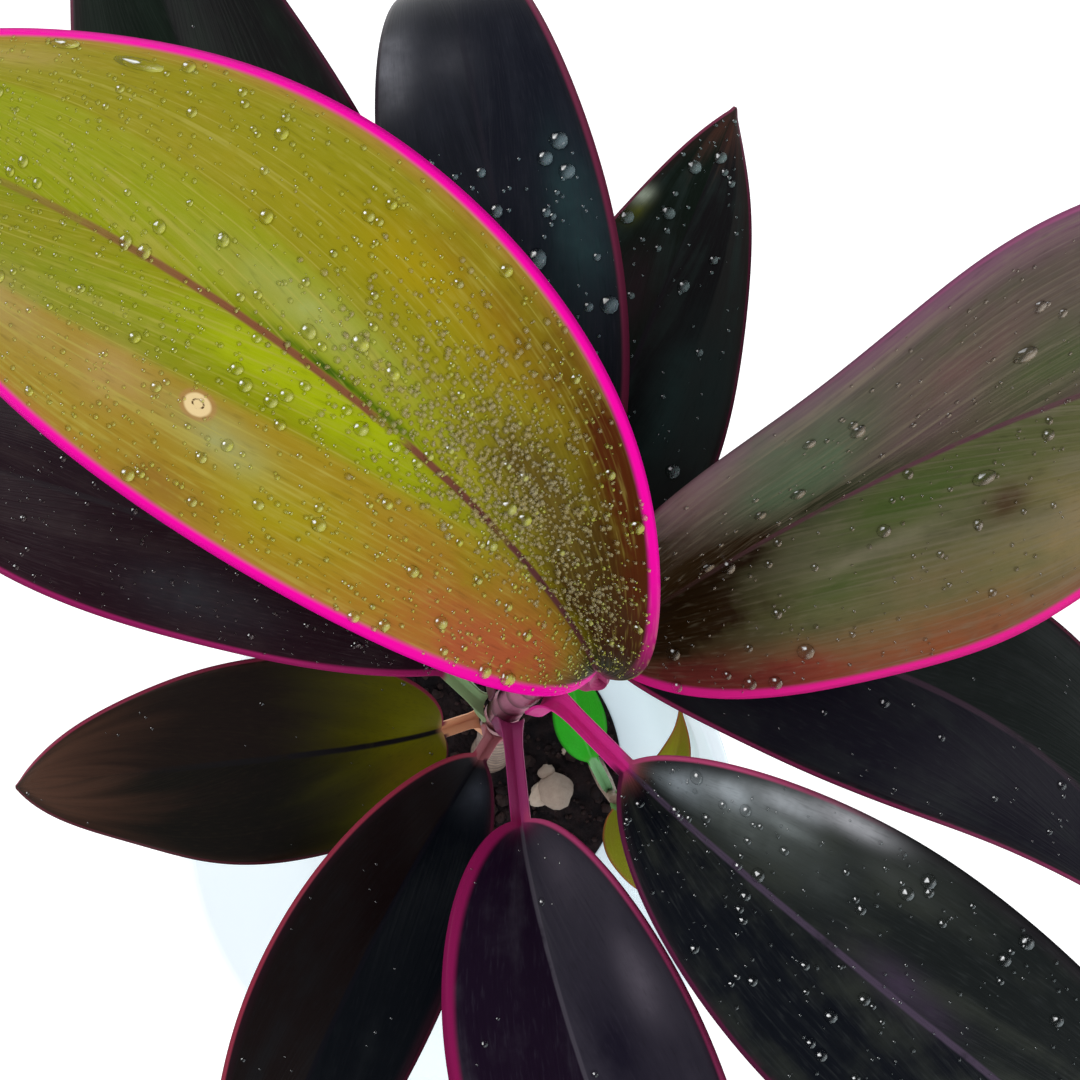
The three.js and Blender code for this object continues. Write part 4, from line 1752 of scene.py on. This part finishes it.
    PINE = LeafLook(
        left=(0.003, 0.008, 0.004), right=(0.007, 0.006, 0.007), foot=(0.003, 0.008, 0.004),
        tip=(0.06, 0.020, 0.012), patch=(0.020, 0.034, 0.030), streak=(0.022, 0.03, 0.028),
        rib=(0.014, 0.010, 0.016), rims=(Rim((0.20, 0.03, 0.07), 0.8), Rim((0.10, 0.012, 0.035), 0.8)),
        hem=(0.018, 0.010, 0.008), under=(0.03, 0.012, 0.02), petiole=(0.16, 0.04, 0.07),
        right_outer=(0.018, 0.018, 0.017), tip_from=0.84, patches=0.6, seed=4.5,
        stains_and_painted_light=(
            # Painted highlight near the left edge: this yellow-green cloud and the white spot after it.
            StainOrPaintedLight(0.735, 0.80, 0.030, 0.14, (0.12, 0.13, 0.008)),
            StainOrPaintedLight(0.765, 0.88, 0.022, 0.16, (0.45, 0.52, 0.40), 0.9),
            StainOrPaintedLight(0.45, -0.45, 0.14, 0.3, (0.016, 0.034, 0.032)),
            StainOrPaintedLight(0.50, -0.76, 0.11, 0.24, (0.015, 0.025, 0.024), 1.1),
            StainOrPaintedLight(0.62, 0.30, 0.10, 0.4, (0.020, 0.012, 0.014)),
        ),
    )
    PLUM = LeafLook(
        left=(0.014, 0.004, 0.008), right=(0.015, 0.006, 0.010), foot=(0.016, 0.005, 0.010),
        tip=(0.030, 0.020, 0.020), patch=(0.036, 0.023, 0.024), streak=(0.06, 0.04, 0.045),
        rib=(0.02, 0.014, 0.018), rims=(Rim((0.32, 0.012, 0.11), 1.5), Rim(MAGENTA, 1.3)),
        hem=(0.025, 0.006, 0.012), petiole=(0.30, 0.46, 0.22), seed=5.0,
        # Painted sheen: the grey cloud on the left half.
        stains_and_painted_light=(StainOrPaintedLight(0.33, 0.55, 0.10, 0.3, (0.030, 0.030, 0.036), 0.7),),
    )
    PURPLE = LeafLook(
        left=(0.020, 0.017, 0.027), right=(0.007, 0.002, 0.010), foot=(0.05, 0.004, 0.024),
        tip=(0.012, 0.008, 0.016), patch=(0.036, 0.031, 0.044), streak=(0.035, 0.03, 0.045),
        rib=(0.052, 0.045, 0.060), rims=(Rim((0.36, 0.04, 0.13), 1.4), Rim((0.22, 0.006, 0.07), 2.8)),
        hem=(0.02, 0.004, 0.014), under=(0.05, 0.012, 0.03), petiole=(0.28, 0.03, 0.13),
        foot_reach=0.05, rib_width=0.6, patches=0.6, seed=6.0,
        stains_and_painted_light=(
            StainOrPaintedLight(0.07, 0.50, 0.05, 0.35, (0.045, 0.038, 0.052)),
            # Painted sheen: the grey cloud on the left half.
            StainOrPaintedLight(0.22, 0.70, 0.05, 0.16, (0.14, 0.12, 0.15), 0.6),
            StainOrPaintedLight(0.30, 0.30, 0.08, 0.25, (0.008, 0.006, 0.014), 0.9),
        ),
    )
    INK = LeafLook(
        left=(0.001, 0.002, 0.004), right=(0.006, 0.003, 0.003), foot=(0.003, 0.003, 0.007),
        tip=(0.005, 0.005, 0.006), patch=(0.008, 0.010, 0.012), streak=(0.010, 0.011, 0.014),
        rib=(0.003, 0.003, 0.006), rims=(Rim((0.06, 0.006, 0.02), 0.9), Rim((0.30, 0.030, 0.06), 1.2)),
        hem=(0.02, 0.005, 0.010), petiole=(0.40, 0.14, 0.16), seed=7.0,
        # Painted sheen: the grey-blue cloud near the foot of the left half.
        stains_and_painted_light=(StainOrPaintedLight(0.05, 0.45, 0.045, 0.4, (0.05, 0.06, 0.08), 0.7),),
    )
    MOSS = LeafLook(
        left=(0.008, 0.010, 0.010), right=(0.003, 0.004, 0.007), foot=(0.20, 0.07, 0.06),
        tip=(0.006, 0.006, 0.008), patch=(0.032, 0.036, 0.028), streak=(0.04, 0.045, 0.045),
        rib=(0.060, 0.042, 0.070),
        rims=(Rim((0.45, 0.06, 0.16), 1.1, fades=(0.10, 0.28)), Rim((0.10, 0.012, 0.045), 1.0)),
        hem=(0.014, 0.011, 0.014), petiole=(0.80, 0.035, 0.32), foot_reach=0.05, patches=0.6,
        relief=0.00008, seed=8.0,
        stains_and_painted_light=(
            # Painted sheen: this grey cloud and the next six are a reflection on the left half near the foot.
            StainOrPaintedLight(0.15, 0.42, 0.10, 0.30, (0.07, 0.08, 0.075), 0.9),
            StainOrPaintedLight(0.07, 0.48, 0.035, 0.26, (0.22, 0.25, 0.27), 0.9),
            StainOrPaintedLight(0.12, 0.66, 0.040, 0.18, (0.30, 0.33, 0.35), 1.0),
            StainOrPaintedLight(0.17, 0.80, 0.040, 0.13, (0.34, 0.36, 0.38), 1.1),
            StainOrPaintedLight(0.23, 0.88, 0.050, 0.10, (0.34, 0.34, 0.36), 1.1),
            StainOrPaintedLight(0.18, 0.60, 0.035, 0.08, (0.18, 0.20, 0.20), 0.9),
            StainOrPaintedLight(0.29, 0.70, 0.040, 0.10, (0.06, 0.066, 0.06), 0.7),
            StainOrPaintedLight(0.31, 0.80, 0.07, 0.2, (0.022, 0.025, 0.022)),
            StainOrPaintedLight(0.36, 0.10, 0.06, 0.15, (0.045, 0.030, 0.055)),
        ),
    )
    STEEL = LeafLook(
        left=(0.008, 0.011, 0.010), right=(0.007, 0.006, 0.012), foot=(0.008, 0.008, 0.009),
        tip=(0.006, 0.006, 0.010), patch=(0.024, 0.029, 0.028), streak=(0.03, 0.034, 0.036),
        rib=(0.045, 0.026, 0.04), rims=(Rim((0.10, 0.02, 0.04), 0.8), Rim((0.30, 0.03, 0.11), 1.0)),
        hem=(0.014, 0.011, 0.014), petiole=(0.16, 0.03, 0.06), seed=9.0,
    )
    AMBER = LeafLook(
        left=(0.006, 0.005, 0.004), right=(0.010, 0.006, 0.005), foot=(0.15, 0.145, 0.002),
        tip=(0.075, 0.034, 0.021), patch=(0.010, 0.006, 0.005), streak=(0.025, 0.018, 0.010),
        rib=(0.008, 0.007, 0.008), rims=(Rim((0.10, 0.02, 0.03), 0.8), Rim((0.25, 0.025, 0.06), 1.1)),
        hem=(0.02, 0.010, 0.007), under=(0.04, 0.02, 0.016), petiole=(0.80, 0.40, 0.22),
        foot_reach=0.46, tip_from=0.58, rib_width=1.0, seed=10.0,
        stains_and_painted_light=(
            StainOrPaintedLight(0.07, -0.10, 0.07, 0.45, (0.24, 0.25, 0.008), 0.9),
            StainOrPaintedLight(0.08, 0.48, 0.08, 0.34, (0.20, 0.085, 0.018), 1.2),
        ),
    )
    OLIVE = LeafLook(
        left=(0.24, 0.25, 0.010), right=(0.20, 0.21, 0.010), foot=(0.20, 0.24, 0.012),
        tip=(0.30, 0.18, 0.02), patch=(0.20, 0.17, 0.02), streak=(0.30, 0.30, 0.05),
        rib=(0.28, 0.24, 0.05), rims=(Rim((0.34, 0.12, 0.03), 0.6), Rim((0.34, 0.12, 0.03), 0.6)),
        hem=(0.24, 0.19, 0.02), under=(0.18, 0.20, 0.03), petiole=(0.16, 0.30, 0.10),
        hem_width=1.5, rib_width=0.5, seed=11.0,
    )
    SPROUT = LeafLook(
        left=(0.03, 0.45, 0.02), right=(0.03, 0.40, 0.018), foot=(0.06, 0.42, 0.03),
        tip=(0.03, 0.42, 0.02), patch=(0.03, 0.34, 0.015), streak=(0.10, 0.52, 0.06),
        rib=(0.08, 0.50, 0.06), rims=(Rim((0.03, 0.34, 0.02), 0.4), Rim((0.03, 0.34, 0.02), 0.4)),
        hem=(0.03, 0.40, 0.02), under=(0.08, 0.30, 0.06), petiole=(0.25, 0.50, 0.24),
        hem_width=1.0, rib_width=0.5, seed=12.0,
    )


@dataclass(frozen=True)
class Growth:
    """One leaf of the cane: its node's height above the soil, its sizes, its look and its dew."""

    name: str
    node: float
    blade: Blade
    tone: LeafTone
    dew: Dew
    columns: int = 28
    rows: int = 80


# The glow and shade colours given to each Dew are the painted light and painted shade of its drops.
LEAVES = [
    Growth(
        "leaf_01_top", 197,
        Blade(20, (228, 67), 310, (104, 143, 158), (76, 0, -38), (38, 16, 14), curl=24, wave=1.2,
              ease=0.75, lean=0.04, dent=(-1, 0.08, 0.1, 26)),
        LeafTone.LIME,
        Dew(560, (0.3, 1.35), (0.70, 0.70, 0.10), (0.17, 0.17, 0.003), 0.7, specks=2800, fine=1700,
            fine_share=(0.08, 0.33), fine_across=(-0.72, 0.12), mist_cover=0.5,
            mist=((0.62, 0.50, 0.20), (0.08, 0.055, 0.01)),
            puddles=((0.567, -0.85, 10, 2.2), (0.635, -0.9, 7, 2.0)), seed=21),
        56, 150,
    ),
    Growth(
        "leaf_02_right", 186,
        Blade(17, (196, 74), 30, (44, 26, -2), (60, 6, -42), (34, 32, 2), curl=20, wave=1.2,
              roll=(4, 31, -22), lean=-0.07, dent=(1, 0.31, 0.1, 8)),
        LeafTone.BRONZE,
        Dew(330, (0.25, 1.5), (0.36, 0.28, 0.20), (0.035, 0.016, 0.010), 0.7, specks=520,
            puddles=((0.41, -0.2, 4.4, 2.4), (0.45, 0.42, 4.5, 3.2)), seed=22),
        52, 130,
    ),
    Growth(
        "leaf_03_back", 171,
        Blade(34, (172, 40), 94, (88, 99, 103), (54, 6, -20), (38, 12, 10), nod=75),
        LeafTone.CHARCOAL,
        Dew(130, (0.3, 1.8), (0.22, 0.32, 0.36), specks=120, gathers=(-0.3, 0.9), reach=0.5, seed=23),
    ),
    Growth(
        "leaf_04_back_left", 154,
        Blade(36, (205, 54), 138, (121, 114, 111), (54, 8, -30), (38, 16, 12)),
        LeafTone.FOREST, Dew(60, (0.3, 1.1), seed=24),
    ),
    Growth(
        "leaf_05_front_right", 167,
        Blade(44, (170, 48), 312, (321, 322, 317), (52, 10, -40), (38, 16, 14), wave=1.5),
        LeafTone.MOSS, Dew(260, (0.25, 1.4), (0.26, 0.30, 0.31), specks=420, seed=25),
    ),
    Growth(
        "leaf_06_front", 146,
        Blade(48, (163, 48), 262, (279, 291, 296), (56, 8, -40), (38, 18, 14), ease=0.62),
        LeafTone.PURPLE, Dew(40, (0.25, 0.8), seed=26),
    ),
    Growth(
        "leaf_07_left", 136,
        Blade(34, (175, 43), 168, (126, 158, 170), (54, 6, -36), (38, 14, 12), wave=1.5, ease=0.8),
        LeafTone.PLUM, Dew(240, (0.2, 0.9), (0.14, 0.10, 0.10), specks=500, seed=27),
    ),
    Growth(
        "leaf_08_low_right", 153,
        Blade(36, (165, 48), 34, (31, -19, -61), (46, 4, -36), (38, 14, 12), curl=16),
        LeafTone.STEEL, Dew(110, (0.25, 1.1), seed=28),
    ),
    Growth(
        "leaf_09_low_back", 131,
        Blade(39, (132, 47), 62, (75, 69, 68), (52, 10, -26), (38, 14, 12), curl=14, blunt=0.9),
        LeafTone.PINE, Dew(110, (0.3, 1.9), (0.26, 0.38, 0.37), specks=120, gathers=(-0.3, 0.9), seed=29),
    ),
    Growth(
        "leaf_10_front_left", 126,
        Blade(18, (160, 40), 246, (233, 243, 259), (60, 10, -38), (38, 16, 14), curl=16),
        LeafTone.INK, Dew(30, (0.25, 0.7), seed=30),
    ),
    Growth(
        "leaf_11_low_left", 116,
        Blade(22, (108, 48), 180, (190, 185, 191), (50, 12, -22), (38, 12, 12), curl=14, blunt=0.75),
        LeafTone.AMBER, Dew(20, (0.2, 0.6), seed=31),
    ),
]


@dataclass
class SideShoot:
    """The side shoot: a short stem and its small leaves, in millimetres."""

    path: tuple[Triple, ...] = ((43, 2, 36), (45, 2, 80), (46, 4, 118))
    radii: Triple = (3, 2.8, 1.6)
    clasp: float = 0.3
    rows: int = 40
    sides: int = 20
    leaf_columns: int = 14
    leaf_rows: int = 40

    def __post_init__(self) -> None:
        """Draw the stem's line."""
        self.line = Curve(self.path)

    def place(self, along: float, round_it: float) -> Vector:
        """Place a vertex.

        Args:
            along: The share of the way along the stem.
            round_it: The share of the way round it.

        Returns:
            Its point in millimetres.
        """
        spans = len(self.radii) - 1
        span = min(int(along * spans), spans - 1)
        radius = mix(self.radii[span], self.radii[span + 1], along * spans - span)
        turn = 2 * math.pi * round_it
        return self.line.at(along) + Vector((math.cos(turn), math.sin(turn), 0)) * radius

    def facts(self, along: float, _: float) -> dict[str, float]:
        """Return what the bark's material reads at a share of the stem, which has no scars."""
        return {"along": along / 2, "ring": 0.0}

    def leaves(self) -> list[tuple[str, float, Blade, LeafTone]]:
        """List the small leaves.

        Returns:
            For each its name, its place on the stem, its sizes and its look.
        """
        small = {"curl": 14, "wave": 0.3}
        return [
            ("shoot_leaf_1", 0.95,
             Blade(7, (28, 15), 290, (290, 288, 282), (62, 16, -30), (38, 20, 14), **small), LeafTone.OLIVE),
            ("shoot_leaf_2", 0.84,
             Blade(13, (38, 13), 30, (12, 52, 94), (56, 30, -4), (38, 24, 14), **small), LeafTone.OLIVE),
            ("shoot_leaf_3", 0.74,
             Blade(28, (36, 16), 118, (116, 104, 98), (35, 10, -10), (38, 20, 14), **small), LeafTone.SPROUT),
        ]

    def build(self) -> None:
        """Make and dress the shoot."""
        stem = sheet("shoot_stem", self.rows, self.sides, self.place, self.facts)
        dress(stem, CanePaint(), ("side_shoot",))
        for name, node, blade, tone in self.leaves():
            share = self.line.at_length(node)
            hold = Hold(self.line.at(share), self.line.heading(share), self.clasp)
            leaf = Leaf(name, blade, hold, tone.value, self.leaf_columns, self.leaf_rows)
            leaf.build("side_shoot", ())


@dataclass
class Studio:
    """The floor, the lights and the camera."""

    camera_place: Triple = (23.2, 83.5, 475)
    lens: float = 39.03
    sensor: float = 36
    sees: Pair = (0.01, 60)
    floor_size: float = 14.0
    floor_whites: tuple[Colour, Colour] = ((0.93, 0.93, 0.93), (0.96, 0.96, 0.96))
    floor_glow: float = 0.4
    sky: Four = (0.95, 0.98, 1.0, 1.0)
    sky_strength: float = 0.7
    lamp_size: float = 1.0
    lamps: tuple[tuple[str, Triple, float], ...] = (
        ("key", (-1.2, 0.9, 1.3), 11), ("fill", (1.3, -0.3, 1.2), 7), ("front", (0.2, -1.4, 1.0), 4),
    )
    lamps_face: Triple = (0.02, 0.06, 0.2)

    def build(self) -> None:
        """Make the floor, the lights, the surroundings and the camera."""
        self.floor()
        self.world()
        for lamp in self.lamps:
            self.lamp(*lamp)
        self.camera()

    def floor(self) -> None:
        """Lay a plain pale floor."""
        bm = bmesh.new()
        bmesh.ops.create_grid(bm, x_segments=1, y_segments=1, size=self.floor_size / 2)
        floor = smooth_piece("floor", bm)
        paint = Paint("floor_white")
        colour = paint.blend(*self.floor_whites, paint.grain(paint.place(), 3.0))
        paint.finish(colour, 0.8, None, 0, Emission_Strength=self.floor_glow, Specular_IOR_Level=0.0)
        paint.feed(paint.shader.inputs["Emission Color"], (1.0, 1.0, 1.0))
        floor.data.materials.append(paint.material)

    def world(self) -> None:
        """Light the surroundings evenly."""
        world = bpy.data.worlds.new("studio")
        world.use_nodes = True
        inputs = world.node_tree.nodes["Background"].inputs
        inputs["Color"].default_value = self.sky
        inputs["Strength"].default_value = self.sky_strength
        bpy.context.scene.world = world
        bpy.context.scene.view_settings.view_transform = "Standard"

    def lamp(self, name: str, place: Triple, power: float) -> None:
        """Hang a soft lamp that faces the plant.

        Args:
            name: The lamp's name.
            place: Where it hangs, in metres.
            power: Its power in watts.
        """
        light = bpy.data.lights.new(name, "AREA")
        light.shape = "DISK"
        light.size = self.lamp_size
        light.energy = power
        lamp = bpy.data.objects.new(name, light)
        lamp.location = place
        way = Vector(self.lamps_face) - Vector(place)
        lamp.rotation_euler = way.to_track_quat("-Z", "Y").to_euler()
        bpy.context.scene.collection.objects.link(lamp)

    def camera(self) -> None:
        """Place the camera straight above the plant, as in the photograph."""
        data = bpy.data.cameras.new("camera")
        data.lens = self.lens
        data.sensor_width = self.sensor
        data.clip_start, data.clip_end = self.sees
        camera = bpy.data.objects.new("camera", data)
        camera.location = Vector(self.camera_place) * MM
        bpy.context.scene.collection.objects.link(camera)
        bpy.context.scene.camera = camera


def main() -> None:
    """Build the plant in order."""
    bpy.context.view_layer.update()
    Studio().build()
    pot = Pot()
    cane = Cane()
    pot.build()
    stems = [(5, 6, cane.foot_radius + 1), (43.6, 2, 4)]
    stones = [(28.9, -6.6, 6.9), (23.0, -8.6, 4.4), (25.8, -0.6, 4.0)]
    Soil(pot, stems, stones).build()
    cane.build()
    for growth in LEAVES:
        hold = cane.hold(Soil.top + growth.node)
        leaf = Leaf(growth.name, growth.blade, hold, growth.tone.value, growth.columns, growth.rows)
        leaf.build(growth.name, (growth.name,))
        leaf.sprinkle(growth.dew, growth.name)
    SideShoot().build()


if __name__ == "__main__":
    logging.basicConfig(level=logging.INFO, format="%(name)s: %(message)s")
    main()
